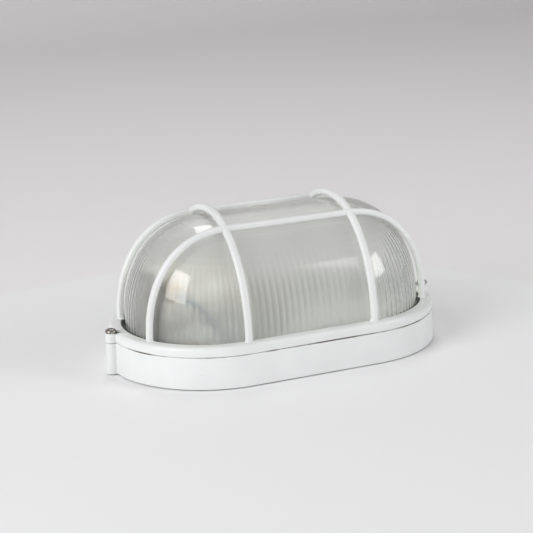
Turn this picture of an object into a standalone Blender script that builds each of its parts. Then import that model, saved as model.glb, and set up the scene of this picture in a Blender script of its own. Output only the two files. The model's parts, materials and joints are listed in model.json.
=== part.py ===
"""Oval bulkhead wall light: a cast tray, a caged cover ring, a pressed glass dome and its wiring.

All sizes are in metres. +Z points away from the wall, so the light lies on its flat back. X runs
along the oval and -Y is the side it is looked at from. The origin is the middle of the back.

Run with: blender --background --python part.py
"""
import math

import bmesh
import bpy
import numpy as np
from mathutils import Matrix

for old_object in list(bpy.data.objects):
    bpy.data.objects.remove(old_object, do_unlink=True)

# Oval outline: two half circles joined by straight runs
HALF_STRAIGHT = 0.0395
BASE_RADIUS = 0.0600
WALL_LEAN = 0.0006
ARC_STEPS = 22

# Housing tray
HOUSING_HEIGHT = 0.0187
WALL = 0.0023
LEDGE_WIDTH = 0.0034
LEDGE_DROP = 0.0049
BACK_RIM_WIDTH = 0.0050
BACK_RECESS = 0.0018
FLOOR_THICKNESS = 0.0024
EDGE_ROUND = 0.0004
FLOOR_FILLET = 0.0020

# Cover ring and its cage
SEAM_GAP = 0.0003
TOUCH = 0.0003
RING_HEIGHT = 0.0054
RING_PLATE = 0.0027
RING_SKIRT = 0.0021
RING_WIDTH = 0.0070
RING_ROUND = 0.0020
BAR_WIDTH = 0.0040
BAR_DEPTH = 0.0036
BAR_CORNER = 0.0012
BAR_FILLET = 0.0010
BAR_ROOT = 0.0015
LONG_BAR_Y = 0.0250
CROSS_BAR_X = 0.0390
CAGE_HEIGHT = 0.0648
CAGE_END_TUCK = 0.0009
BULGE_SIDE = 2.05
BULGE_END = 2.28

# Glass dome
BAR_TO_GLASS = 0.0017
GLASS_END_TUCK = 0.0000
GLASS_WALL = 0.0033
RIB_DEPTH = 0.0009
RIB_PITCH = 0.0039
RIB_TOP = 0.62
FLANGE_THICKNESS = 0.0030
FLANGE_SIDE_GAP = 0.0006
GLASS_COLUMNS = 64
GLASS_ROWS = 8
RIB_ROWS = 5
GLASS_POLE = 0.10

# Gaskets
HOUSING_GASKET = 0.0020
DIFFUSER_GASKET = 0.0017
GASKET_INSET = 0.0003

# Screw columns and cover screws
LUG_OUT = 0.0021
LUG_RADIUS = 0.0033
LUG_FLARE = 0.0003
COVER_SCREW_RADIUS = 0.00165
COVER_SCREW_LENGTH = 0.0170
COVER_HEAD_RADIUS = 0.0032
COVER_HEAD_HEIGHT = 0.0022
SCREW_CLEARANCE = 0.0003
PILOT_DEPTH = 0.0155
KEEPER_WIDTH = 0.0005
KEEPER_HEIGHT = 0.0009

# Lampholder, its bracket and its terminals
HOLDER_AXIS_Z = 0.0400
HOLDER_FROM_END = 0.0278
HOLDER_LENGTH = 0.0410
HOLDER_BASE_RADIUS = 0.0200
HOLDER_BASE_LENGTH = 0.0140
HOLDER_SKIRT_RADIUS = 0.0188
HOLDER_FLOOR = 0.0120
SHELL_RADIUS = 0.01375
SHELL_THREAD_DEPTH = 0.0006
SHELL_PITCH = 0.0036
SHELL_TURNS = 4
SHELL_WALL = 0.0005
SHELL_HOLE_RADIUS = 0.0078
CONTACT_WIDTH = 0.0060
CONTACT_LENGTH = 0.0090
CONTACT_STRIP = 0.0006
CONTACT_RISE = 0.0045
CONTACT_BEND = 0.6
BRACKET_THICKNESS = 0.0015
BRACKET_BEND = 0.6
BRACKET_WIDTH = 0.0300
BRACKET_TOP = 0.0140
BRACKET_FOOT = 0.0190
BRACKET_SCREW_X = 0.0115
BRACKET_SCREW_Y = 0.0085
HOLDER_SCREW_Y = 0.0110
BOSS_RADIUS = 0.0038
BOSS_HEIGHT = 0.0030
BOSS_PILOT = 0.0044
NOTCH_LENGTH = 0.0100
NOTCH_INNER_Y = 0.0090
NOTCH_FLOOR = 0.0020
TERMINAL_SIZE = (0.0080, 0.0076, 0.0074)
TERMINAL_HEAD_RADIUS = 0.0024
LEAD_HOLE_RADIUS = 0.0015

# Small screws
SMALL_SCREW_RADIUS = 0.0013
SMALL_HEAD_RADIUS = 0.0027
SMALL_HEAD_HEIGHT = 0.0018
FIXING_SCREW_LENGTH = 0.0065
GRUB_RADIUS = 0.0013
TIP_SHARE = 0.72
PAN_PROFILE = ((0.97, 0.00), (1.00, 0.25), (0.90, 0.65), (0.55, 0.96), (0.15, 1.00))
RECESS_ARM = 0.55
RECESS_WING = 0.11
RECESS_DEPTH = 0.50
CHEESE_EDGE = 0.18
SLOT_SHARE = 0.16
CUT_PAST = 0.0010

# Terminal block on the tray floor
BLOCK_X = 0.0110
BLOCK_FROM_LEDGE = 0.0177
BLOCK_POLE_PITCH = 0.0084
BLOCK_LENGTH = 0.0180
BLOCK_DEPTH = 0.0170
BLOCK_HEIGHT = 0.0125
BLOCK_SCREW_Y = 0.0048
CLAMP_RADIUS = 0.0024
CLAMP_BORE = 0.0015
CLAMP_LENGTH = 0.0150
CLAMP_RISE = 0.0055
GRUB_SINK = 0.0012
BLOCK_HEAD_RADIUS = 0.0022

# Earth point, cable entry and wall screw holes
EARTH_X = 0.0300
EARTH_FROM_LEDGE = 0.0197
EARTH_WASHER_RADIUS = 0.0040
EARTH_WASHER_HEIGHT = 0.0010
ENTRY_X = 0.0420
ENTRY_Y = -0.0160
ENTRY_RADIUS = 0.0070
GROMMET_LIP = 0.0016
GROMMET_FLANGE = 0.0010
GROMMET_BORE = 0.0042
WALL_HOLE_FROM_LEDGE = 0.0122
WALL_HOLE_RADIUS = 0.0026

# Internal leads
LEAD_RADIUS = 0.0011
LEAD_STEP = 0.0055
LEAD_INSIDE = 0.0030

# Heights and radii that follow from the sizes above
SEAM_RADIUS = BASE_RADIUS - WALL_LEAN
FLOOR_TOP = BACK_RECESS + FLOOR_THICKNESS
LEDGE_Z = HOUSING_HEIGHT - LEDGE_DROP
RIM_INNER = SEAM_RADIUS - WALL
LEDGE_INNER = RIM_INNER - LEDGE_WIDTH
BLOCK_Y = LEDGE_INNER - BLOCK_FROM_LEDGE
EARTH_Y = EARTH_FROM_LEDGE - LEDGE_INNER
WALL_HOLE_X = HALF_STRAIGHT + LEDGE_INNER - WALL_HOLE_FROM_LEDGE
LOWER_GASKET_Z = LEDGE_Z + TOUCH
FLANGE_Z = LOWER_GASKET_Z + HOUSING_GASKET + TOUCH
FLANGE_TOP = FLANGE_Z + FLANGE_THICKNESS
UPPER_GASKET_Z = FLANGE_TOP + TOUCH
RING_Z = HOUSING_HEIGHT + SEAM_GAP
PLATE_Z = UPPER_GASKET_Z + DIFFUSER_GASKET + TOUCH
RING_TOP = max(RING_Z + RING_HEIGHT, PLATE_Z + RING_PLATE)
RING_INNER = SEAM_RADIUS - RING_WIDTH
BAR_RADIUS = RING_INNER + BAR_DEPTH / 2
CAGE_HALF_STRAIGHT = HALF_STRAIGHT - CAGE_END_TUCK
GLASS_RADIUS = BAR_RADIUS - BAR_DEPTH / 2 - BAR_TO_GLASS
GLASS_HEIGHT = CAGE_HEIGHT - BAR_DEPTH / 2 - BAR_TO_GLASS
GLASS_HALF_STRAIGHT = HALF_STRAIGHT - GLASS_END_TUCK
FLANGE_RADIUS = RIM_INNER - FLANGE_SIDE_GAP
LUG_X = HALF_STRAIGHT + SEAM_RADIUS + LUG_OUT
LUG_HOLE_RADIUS = COVER_SCREW_RADIUS + SCREW_CLEARANCE
HOLDER_BACK_X = HOLDER_FROM_END - (HALF_STRAIGHT + BASE_RADIUS)
BRACKET_X = HOLDER_BACK_X - TOUCH
BOSS_TOP = FLOOR_TOP + BOSS_HEIGHT
FOOT_Z = BOSS_TOP + TOUCH
SMALL_HOLE_RADIUS = SMALL_SCREW_RADIUS + SCREW_CLEARANCE

WHITE_PAINT = ((0.86, 0.87, 0.88, 1.0), 0.35, 0.0)
GLASS = ((0.74, 0.78, 0.74, 1.0), 0.15, 0.0)
DARK_RUBBER = ((0.03, 0.03, 0.02, 1.0), 0.70, 0.0)
ZINC_STEEL = ((0.55, 0.55, 0.54, 1.0), 0.30, 1.0)
BRASS = ((0.72, 0.52, 0.22, 1.0), 0.30, 1.0)
PORCELAIN = ((0.83, 0.82, 0.78, 1.0), 0.20, 0.0)
CREAM_PLASTIC = ((0.80, 0.79, 0.74, 1.0), 0.45, 0.0)
BROWN_PVC = ((0.22, 0.08, 0.03, 1.0), 0.45, 0.0)
BLUE_PVC = ((0.03, 0.12, 0.38, 1.0), 0.45, 0.0)


def add_object(name, bm, finish, smooth=35.0):
    """Turn a bmesh into a named object with its own material, faces pointing outwards."""
    bmesh.ops.recalc_face_normals(bm, faces=bm.faces)
    mesh = bpy.data.meshes.new(name)
    bm.to_mesh(mesh)
    bm.free()
    colour, roughness, metallic = finish
    material = bpy.data.materials.new(name)
    material.use_nodes = True
    shader = material.node_tree.nodes["Principled BSDF"]
    shader.inputs["Base Color"].default_value = colour
    shader.inputs["Roughness"].default_value = roughness
    shader.inputs["Metallic"].default_value = metallic
    mesh.materials.append(material)
    item = bpy.data.objects.new(name, mesh)
    bpy.context.scene.collection.objects.link(item)
    shade(item, smooth)
    return item


def shade(item, smooth=35.0):
    """Shade smooth, with sharp edges where faces meet at more than the given angle."""
    item.data.shade_smooth()
    item.data.set_sharp_from_angle(angle=math.radians(smooth))


def combine(target, tool, operation, smooth=35.0):
    """Join a tool to a piece, or cut it away, and keep the result as a plain mesh."""
    step = target.modifiers.new(operation.title(), "BOOLEAN")
    step.operation = operation
    step.solver = "EXACT"
    step.object = tool
    graph = bpy.context.evaluated_depsgraph_get()
    graph.update()
    result = bpy.data.meshes.new_from_object(target.evaluated_get(graph))
    target.modifiers.clear()
    target.data = result
    bpy.data.objects.remove(tool, do_unlink=True)
    shade(target, smooth)


def join(target, tool):
    combine(target, tool, "UNION")


def cut(target, tool):
    combine(target, tool, "DIFFERENCE")


def oval(radius, steps=ARC_STEPS):
    """Points of the oval outline, anticlockwise from the front right corner of the straight."""
    turn = np.linspace(-math.pi / 2, math.pi / 2, steps + 1)
    right = np.column_stack([HALF_STRAIGHT + radius * np.cos(turn), radius * np.sin(turn)])
    return np.vstack([right, -right])


def skin(bm, rings, closed):
    """Faces between rings of the same count; a closed set also joins the last to the first."""
    loops = [[bm.verts.new(point) for point in ring] for ring in rings]
    pairs = list(zip(loops, loops[1:]))
    if closed:
        pairs.append((loops[-1], loops[0]))
    for low, high in pairs:
        count = len(low)
        for i in range(count):
            j = (i + 1) % count
            bm.faces.new((low[i], low[j], high[j], high[i]))
    if not closed:
        bm.faces.new(loops[0])
        bm.faces.new(loops[-1])
    return loops


def oval_solid(name, profile, finish, closed, steps=ARC_STEPS):
    """An oval piece from (radius, height) points, a ring if closed and a capped block if not."""
    bm = bmesh.new()
    rings = []
    for radius, z in profile:
        outline = oval(radius, steps)
        rings.append(np.column_stack([outline, np.full(len(outline), z)]))
    skin(bm, rings, closed)
    return add_object(name, bm, finish)


def turned(name, profile, finish, segments=24, closed=False, smooth=35.0):
    """A piece turned about its own Z from (radius, height) points, capped at both ends if open."""
    bm = bmesh.new()
    turn = np.linspace(0, 2 * math.pi, segments, endpoint=False)
    circle = np.column_stack([np.cos(turn), np.sin(turn)])
    rings = [np.column_stack([circle * radius, np.full(segments, z)]) for radius, z in profile]
    skin(bm, rings, closed)
    return add_object(name, bm, finish, smooth)


def block(name, low, high, finish, bevel=0.0):
    """A box between two corners, with its edges chamfered if a bevel is given."""
    bm = bmesh.new()
    bmesh.ops.create_cube(bm, size=1.0)
    size = np.subtract(high, low)
    middle = np.add(high, low) / 2
    bm.transform(Matrix.Translation(middle) @ Matrix.Diagonal((*size, 1.0)))
    if bevel:
        bmesh.ops.bevel(bm, geom=bm.edges[:], offset=bevel, segments=1, affect="EDGES")
    return add_object(name, bm, finish)


def stand(item, place, towards="+Z"):
    """Put a turned piece at a place with its own +Z pointing along a named axis."""
    turns = {"+Z": (0, 0, 0), "-Z": (math.pi, 0, 0), "+X": (0, math.pi / 2, 0),
             "-X": (0, -math.pi / 2, 0), "+Y": (-math.pi / 2, 0, 0), "-Y": (math.pi / 2, 0, 0)}
    item.rotation_euler = turns[towards]
    item.location = place
    return item


def rod(radius, length, place, towards="+Z", segments=24, far_radius=None):
    """A plain round bar or drill, used to join or to cut."""
    tip = radius if far_radius is None else far_radius
    item = turned("rod", [(radius, 0), (tip, length)], ZINC_STEEL, segments)
    return stand(item, place, towards)


def pan_screw(name, radius, length, head_radius, head_height, finish, segments=16):
    """A pan head screw with its seat at its own origin, shank down and a cross recess on top."""
    item = turned(name, [
        (radius * TIP_SHARE, -length),
        (radius, -length + radius * (1 - TIP_SHARE)),
        (radius, 0),
        *((head_radius * out, head_height * up) for out, up in PAN_PROFILE),
    ], finish, segments)
    arm = head_radius * RECESS_ARM
    wing = head_radius * RECESS_WING
    low, high = head_height * (1 - RECESS_DEPTH), head_height + CUT_PAST
    cross = block("cross", (-arm, -wing, low), (arm, wing, high), finish)
    join(cross, block("wing", (-wing, -arm, low), (wing, arm, high), finish))
    cut(item, cross)
    return item


def slot_screw(name, radius, length, head_radius, head_height, finish, segments=12):
    """A small cheese head screw with a straight slot, its seat at its own origin."""
    item = turned(name, [
        (radius, -length),
        (radius, 0),
        (head_radius, 0),
        (head_radius, head_height * (1 - CHEESE_EDGE)),
        (head_radius * (1 - CHEESE_EDGE), head_height),
    ], finish, segments)
    cut_slot(item, head_radius, head_height, head_height * RECESS_DEPTH)
    return item


def cut_slot(item, radius, top, depth):
    """A straight screwdriver slot across the top of an upright screw that is still at the origin."""
    half_slot = radius * SLOT_SHARE
    cut(item, block("slot", (-radius - CUT_PAST, -half_slot, top - depth),
                    (radius + CUT_PAST, half_slot, top + CUT_PAST), ZINC_STEEL))


def bulge(angle):
    """How full the dome is towards a plan direction: 0 faces the long side, a quarter turn the end."""
    return BULGE_SIDE + (BULGE_END - BULGE_SIDE) * math.sin(angle) ** 2


def dome_height(share, angle):
    """Height share of the dome where its plan radius is a given share of the full radius."""
    power = bulge(angle)
    return max(0.0, 1.0 - share ** power) ** (1.0 / power)


def dome_ring(half_straight, radius, height, share, count):
    """One level of the dome: count points spaced evenly along the full outline, pulled inwards."""
    straight = 2 * half_straight
    arc = math.pi * radius
    total = 2 * (straight + arc)
    points = []
    for i in range(count):
        s = total * i / count
        if s < arc:
            side, angle = 1, s / radius
        elif s < arc + straight:
            along = half_straight - (s - arc)
            points.append((along, share * radius, height * dome_height(share, 0.0)))
            continue
        elif s < 2 * arc + straight:
            side, angle = -1, (s - arc - straight) / radius
        else:
            along = -half_straight + (s - 2 * arc - straight)
            points.append((along, -share * radius, height * dome_height(share, 0.0)))
            continue
        out = math.sin(angle)
        across = -math.cos(angle)
        x = side * (half_straight + share * radius * out)
        y = side * share * radius * across
        lean = math.atan2(out, abs(across))
        points.append((x, y, height * dome_height(share, lean)))
    return points


def sweep(name, path, normals, side, widths):
    """A cast bar with an eight sided section along a path; side is the unit vector of its width."""
    bm = bmesh.new()
    rings = []
    half_depth = BAR_DEPTH / 2
    corner = BAR_CORNER
    for centre, normal, half_width in zip(np.array(path), np.array(normals), widths):
        section = [
            (half_width, half_depth - corner), (half_width - corner, half_depth),
            (-half_width + corner, half_depth), (-half_width, half_depth - corner),
            (-half_width, -half_depth + corner), (-half_width + corner, -half_depth),
            (half_width - corner, -half_depth), (half_width, -half_depth + corner),
        ]
        rings.append([centre + side * w + normal * d for w, d in section])
    skin(bm, rings, False)
    return add_object(name, bm, WHITE_PAINT)


def bar_path(flat_points):
    """Close spaced flat points to a path with its normals; the normal turns outwards."""
    points = np.array(flat_points)
    ahead = np.gradient(points, axis=0)
    ahead /= np.linalg.norm(ahead, axis=1)[:, None]
    outward = np.column_stack([-ahead[:, 1], ahead[:, 0]])
    return points, outward


def foot_widths(heights):
    """Half widths of a bar that flares with a small fillet where it meets the ring."""
    above = np.clip(np.array(heights) - RING_TOP, 0, BAR_FILLET)
    reach = BAR_FILLET - above
    flare = BAR_FILLET - np.sqrt(np.maximum(BAR_FILLET ** 2 - reach ** 2, 0))
    return BAR_WIDTH / 2 + flare


def foot_levels():
    """Heights at which the foot of a bar gets a section, from its root up to the fillet's top."""
    return [RING_TOP - BAR_ROOT, RING_TOP, RING_TOP + BAR_FILLET * 0.25,
            RING_TOP + BAR_FILLET * 0.6, RING_TOP + BAR_FILLET]


def cross_bar_points(steps=11):
    """Right half, foot to crown, of the bar that arches over the glass: (across, height)."""
    points = [(BAR_RADIUS, z) for z in foot_levels()[:2]]
    rise = [dome_lift(z) for z in foot_levels()[2:]]
    first = math.asin(min(1.0, rise[-1][1]))
    points += [(BAR_RADIUS * across, RING_TOP + CAGE_HEIGHT * lift) for across, lift in rise]
    for i in range(1, steps + 1):
        turn = first + (math.pi / 2 - first) * i / steps
        power = 2 / BULGE_SIDE
        points.append((BAR_RADIUS * math.cos(turn) ** power,
                       RING_TOP + CAGE_HEIGHT * math.sin(turn) ** power))
    return points


def dome_lift(z):
    """Plan share and height share of the cage's side profile at a given height."""
    lift = (z - RING_TOP) / CAGE_HEIGHT
    return (1 - lift ** BULGE_SIDE) ** (1 / BULGE_SIDE), lift


def long_bar_points(steps=15):
    """Right half, foot to middle, of a bar that runs along the light: (along, height)."""
    reach = math.sqrt(BAR_RADIUS ** 2 - LONG_BAR_Y ** 2)
    points = [(CAGE_HALF_STRAIGHT + reach, z) for z in foot_levels()[:2]]
    for i in range(1, steps + 1):
        turn = math.pi / 2 * i / steps
        out = reach * math.cos(turn)
        plan = math.hypot(out, LONG_BAR_Y)
        lift = dome_height(plan / BAR_RADIUS, math.atan2(out, LONG_BAR_Y))
        points.append((CAGE_HALF_STRAIGHT + out, RING_TOP + CAGE_HEIGHT * lift))
    return points


def mirrored(points):
    """The whole bar from its right half."""
    left = [(-across, z) for across, z in reversed(points)]
    if abs(points[-1][0]) < 1e-6:
        left = left[1:]
    return points + left


def make_housing():
    """The tray: leaning wall, ledge for the glass, recessed back, screw columns and bosses."""
    rim = BASE_RADIUS - BACK_RIM_WIDTH
    housing = oval_solid("housing", [
        (rim, BACK_RECESS),
        (rim, 0),
        (BASE_RADIUS - EDGE_ROUND, 0),
        (BASE_RADIUS, EDGE_ROUND),
        (SEAM_RADIUS, HOUSING_HEIGHT - EDGE_ROUND),
        (SEAM_RADIUS - EDGE_ROUND, HOUSING_HEIGHT),
        (RIM_INNER, HOUSING_HEIGHT),
        (RIM_INNER, LEDGE_Z),
        (LEDGE_INNER, LEDGE_Z),
        (LEDGE_INNER, FLOOR_TOP + FLOOR_FILLET),
        (LEDGE_INNER - FLOOR_FILLET, FLOOR_TOP),
    ], WHITE_PAINT, closed=False)
    for side in (-1, 1):
        join(housing, rod(LUG_RADIUS + LUG_FLARE, HOUSING_HEIGHT, (side * LUG_X, 0, 0),
                          far_radius=LUG_RADIUS))
    for x, y in boss_places():
        join(housing, rod(BOSS_RADIUS, BOSS_HEIGHT + FLOOR_THICKNESS / 2,
                          (x, y, FLOOR_TOP - FLOOR_THICKNESS / 2), segments=16))
    for side in (-1, 1):
        cut(housing, rod(LUG_HOLE_RADIUS, PILOT_DEPTH + CUT_PAST,
                         (side * LUG_X, 0, HOUSING_HEIGHT - PILOT_DEPTH), segments=16))
        cut(housing, rod(WALL_HOLE_RADIUS, FLOOR_TOP + CUT_PAST,
                         (side * WALL_HOLE_X, 0, 0), segments=16))
    for x, y in boss_places():
        cut(housing, rod(SMALL_HOLE_RADIUS, BOSS_PILOT + CUT_PAST,
                         (x, y, BOSS_TOP - BOSS_PILOT), segments=12))
    cut(housing, rod(ENTRY_RADIUS, FLOOR_TOP + CUT_PAST, (ENTRY_X, ENTRY_Y, 0)))


def boss_places():
    """Where the tray carries a screw boss: two for the bracket, one for the block, one for earth."""
    bracket = BRACKET_X + BRACKET_SCREW_X
    return [(bracket, -BRACKET_SCREW_Y), (bracket, BRACKET_SCREW_Y),
            (BLOCK_X, BLOCK_Y), (EARTH_X, EARTH_Y)]


def make_guard():
    """The cover casting: clamping ring, screw lugs and the cage of two long and two cross bars."""
    outer = SEAM_RADIUS
    skirt = outer - RING_SKIRT
    arc = [(outer - RING_ROUND * (1 - math.cos(a)), RING_TOP - RING_ROUND * (1 - math.sin(a)))
           for a in np.radians([0, 30, 60, 90])]
    guard = oval_solid("guard_frame", [
        (skirt, RING_Z),
        (outer - EDGE_ROUND, RING_Z),
        (outer, RING_Z + EDGE_ROUND),
        *arc,
        (RING_INNER + EDGE_ROUND, RING_TOP),
        (RING_INNER, RING_TOP - EDGE_ROUND),
        (RING_INNER, PLATE_Z),
        (skirt, PLATE_Z),
    ], WHITE_PAINT, closed=True)
    for side in (-1, 1):
        join(guard, rod(LUG_RADIUS, RING_TOP - RING_Z, (side * LUG_X, 0, RING_Z)))
    across, along = np.array((1.0, 0, 0)), np.array((0, 1.0, 0))
    flat, outward = bar_path(mirrored(cross_bar_points()))
    for side in (-1, 1):
        path = [(side * CROSS_BAR_X, y, z) for y, z in flat]
        normals = [(0, a, b) for a, b in outward]
        join(guard, sweep("cross_bar", path, normals, across, foot_widths(flat[:, 1])))
    flat, outward = bar_path(mirrored(long_bar_points()))
    for side in (-1, 1):
        path = [(x, side * LONG_BAR_Y, z) for x, z in flat]
        normals = [(a, 0, b) for a, b in outward]
        join(guard, sweep("long_bar", path, normals, along, foot_widths(flat[:, 1])))
    pocket = LUG_HOLE_RADIUS + KEEPER_WIDTH + SCREW_CLEARANCE
    for side in (-1, 1):
        place = (side * LUG_X, 0, RING_Z - CUT_PAST)
        cut(guard, rod(LUG_HOLE_RADIUS, RING_TOP - RING_Z + 2 * CUT_PAST, place, segments=16))
        cut(guard, rod(pocket, KEEPER_HEIGHT + TOUCH + CUT_PAST, place, segments=16))
    return guard


def make_glass():
    """The dome: smooth outside, upright ribs inside, and a flange that the ring clamps."""
    bm = bmesh.new()
    around = 2 * math.pi * GLASS_RADIUS + 4 * GLASS_HALF_STRAIGHT
    ribs = round(around / RIB_PITCH)
    flange = oval_count(FLANGE_RADIUS, GLASS_COLUMNS)
    outer = [[(x, y, FLANGE_Z) for x, y in flange], [(x, y, FLANGE_TOP) for x, y in flange]]
    wall = oval_count(GLASS_RADIUS, GLASS_COLUMNS)
    outer.append([(x, y, FLANGE_TOP) for x, y in wall])
    for share in level_shares(GLASS_ROWS):
        ring = dome_ring(GLASS_HALF_STRAIGHT, GLASS_RADIUS, GLASS_HEIGHT, share, GLASS_COLUMNS)
        outer.append([(x, y, RING_TOP + z) for x, y, z in ring])
    outer_loops = open_skin(bm, outer)
    bm.faces.new(outer_loops[-1])
    inner = []
    inner_radius = GLASS_RADIUS - GLASS_WALL
    inner_height = GLASS_HEIGHT - GLASS_WALL
    crest = [1.0 if i % 2 else 0.0 for i in range(2 * ribs)]
    for share in [1.0, *level_shares(RIB_ROWS)]:
        lift = dome_height(share, 0.0)
        depth = RIB_DEPTH * max(0.0, 1.0 - (lift / RIB_TOP) ** 4)
        ring = dome_ring(GLASS_HALF_STRAIGHT, inner_radius, inner_height, share, 2 * ribs)
        z0 = FLANGE_Z if not inner else RING_TOP
        inner.append([inwards(x, y, z0 + z, depth * c) for (x, y, z), c in zip(ring, crest)])
    inner_loops = open_skin(bm, inner)
    bm.faces.new(inner_loops[-1])
    low_edges = [bm.edges.get((a, b)) for loop in (outer_loops[0], inner_loops[0])
                 for a, b in zip(loop, loop[1:] + loop[:1])]
    bmesh.ops.triangle_fill(bm, edges=low_edges, use_beauty=True)
    return add_object("glass_diffuser", bm, GLASS, smooth=28.0)


def level_shares(rows):
    """Plan shares of the dome's levels, from its foot up to the small cap at the top."""
    return [math.sin(turn) for turn in np.linspace(math.pi / 2, math.asin(GLASS_POLE), rows)]


def inwards(x, y, z, depth):
    """Move a point of the dome's inside towards the long middle line by a rib's depth."""
    spine = max(-GLASS_HALF_STRAIGHT, min(GLASS_HALF_STRAIGHT, x))
    away = math.hypot(x - spine, y)
    keep = 1.0 - depth / away
    return spine + (x - spine) * keep, y * keep, z


def oval_count(radius, count):
    """A flat oval outline with the same spacing rule as the dome's levels."""
    return [(x, y) for x, y, z in dome_ring(GLASS_HALF_STRAIGHT, radius, 0.0, 1.0, count)]


def open_skin(bm, rings):
    """Faces between rings without end caps."""
    loops = [[bm.verts.new(point) for point in ring] for ring in rings]
    for low, high in zip(loops, loops[1:]):
        count = len(low)
        for i in range(count):
            j = (i + 1) % count
            bm.faces.new((low[i], low[j], high[j], high[i]))
    return loops


def make_gaskets():
    """The two rubber rings, under and over the glass flange; the upper one lifts with the glass."""
    low, high = LOWER_GASKET_Z, LOWER_GASKET_Z + HOUSING_GASKET
    inner, outer = LEDGE_INNER + GASKET_INSET, RIM_INNER - GASKET_INSET
    oval_solid("housing_gasket", [(outer, low), (outer, high), (inner, high), (inner, low)],
               DARK_RUBBER, closed=True, steps=20)
    low, high = UPPER_GASKET_Z, UPPER_GASKET_Z + DIFFUSER_GASKET
    inner, outer = RING_INNER - TOUCH, SEAM_RADIUS - RING_SKIRT - GASKET_INSET
    upper = oval_solid("diffuser_gasket", [(outer, low), (outer, high), (inner, high), (inner, low)],
                       DARK_RUBBER, closed=True, steps=20)
    return upper


def make_cover_screws():
    """The two long screws and the rings that keep them in the lugs."""
    items = []
    for name, side in (("left", -1), ("right", 1)):
        screw = pan_screw(f"{name}_cover_screw", COVER_SCREW_RADIUS, COVER_SCREW_LENGTH,
                          COVER_HEAD_RADIUS, COVER_HEAD_HEIGHT, ZINC_STEEL, segments=20)
        items.append(stand(screw, (side * LUG_X, 0, RING_TOP + TOUCH)))
        keeper = turned(f"{name}_screw_keeper", [
            (LUG_HOLE_RADIUS, 0), (LUG_HOLE_RADIUS + KEEPER_WIDTH, 0),
            (LUG_HOLE_RADIUS + KEEPER_WIDTH, KEEPER_HEIGHT), (LUG_HOLE_RADIUS, KEEPER_HEIGHT),
        ], DARK_RUBBER, segments=16, closed=True)
        items.append(stand(keeper, (side * LUG_X, 0, RING_Z)))
    return items


def make_lampholder():
    """The porcelain body with its bore, terminal notches and fixing holes, turned about +X."""
    bore = SHELL_RADIUS + TOUCH
    body = turned("lampholder_body", [
        (HOLDER_BASE_RADIUS - 2 * EDGE_ROUND, 0),
        (HOLDER_BASE_RADIUS, 2 * EDGE_ROUND),
        (HOLDER_BASE_RADIUS, HOLDER_BASE_LENGTH),
        (HOLDER_SKIRT_RADIUS, HOLDER_BASE_LENGTH + EDGE_ROUND),
        (HOLDER_SKIRT_RADIUS, HOLDER_LENGTH - 2 * EDGE_ROUND),
        (HOLDER_SKIRT_RADIUS - 2 * EDGE_ROUND, HOLDER_LENGTH),
        (bore + EDGE_ROUND, HOLDER_LENGTH),
        (bore, HOLDER_LENGTH - EDGE_ROUND),
        (bore, HOLDER_FLOOR),
    ], PORCELAIN, segments=28)
    stand(body, (HOLDER_BACK_X, 0, HOLDER_AXIS_Z), "+X")
    reach = HOLDER_BASE_RADIUS + CUT_PAST
    for side in (-1, 1):
        inner, outer = sorted((side * NOTCH_INNER_Y, side * reach))
        cut(body, block("notch", (HOLDER_BACK_X - CUT_PAST, inner, HOLDER_AXIS_Z + NOTCH_FLOOR),
                        (HOLDER_BACK_X + NOTCH_LENGTH, outer, HOLDER_AXIS_Z + reach), PORCELAIN))
        place = (HOLDER_BACK_X - CUT_PAST, side * HOLDER_SCREW_Y, HOLDER_AXIS_Z - NOTCH_FLOOR)
        cut(body, rod(SMALL_HOLE_RADIUS, CUT_PAST + FIXING_SCREW_LENGTH + TOUCH, place, "+X", 12))


def make_shell():
    """The brass threaded shell with an inward flange at its bottom, and the centre contact."""
    wall = SHELL_WALL
    start = wall + SHELL_PITCH / 2
    outside = [(SHELL_RADIUS, 0)]
    inside = [(SHELL_RADIUS - wall, wall)]
    for i in range(2 * SHELL_TURNS):
        height = start + SHELL_PITCH / 2 * i
        radius = SHELL_RADIUS - (SHELL_THREAD_DEPTH if i % 2 else 0.0)
        outside.append((radius, height))
        inside.append((radius - wall, height))
    top = start + SHELL_PITCH * SHELL_TURNS
    outside.append((SHELL_RADIUS, top))
    inside.append((SHELL_RADIUS - wall, top))
    profile = [(SHELL_HOLE_RADIUS, 0)] + outside + inside[::-1] + [(SHELL_HOLE_RADIUS, wall)]
    shell = turned("lampholder_shell", profile, BRASS, segments=20, closed=True)
    seat = HOLDER_BACK_X + HOLDER_FLOOR + TOUCH
    stand(shell, (seat, 0, HOLDER_AXIS_Z), "+X")
    bm = bmesh.new()
    strip = CONTACT_STRIP
    half = CONTACT_LENGTH / 2
    bend = half * CONTACT_BEND
    side_view = [(0, -half), (strip, -half), (strip, 0),
                 (CONTACT_RISE, bend), (CONTACT_RISE, half), (CONTACT_RISE - strip, half),
                 (CONTACT_RISE - strip, bend + strip), (0, strip)]
    edges = [[(seat + x, y, HOLDER_AXIS_Z + z) for x, z in side_view]
             for y in (-CONTACT_WIDTH / 2, CONTACT_WIDTH / 2)]
    skin(bm, edges, False)
    add_object("lampholder_contact", bm, BRASS)


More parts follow.
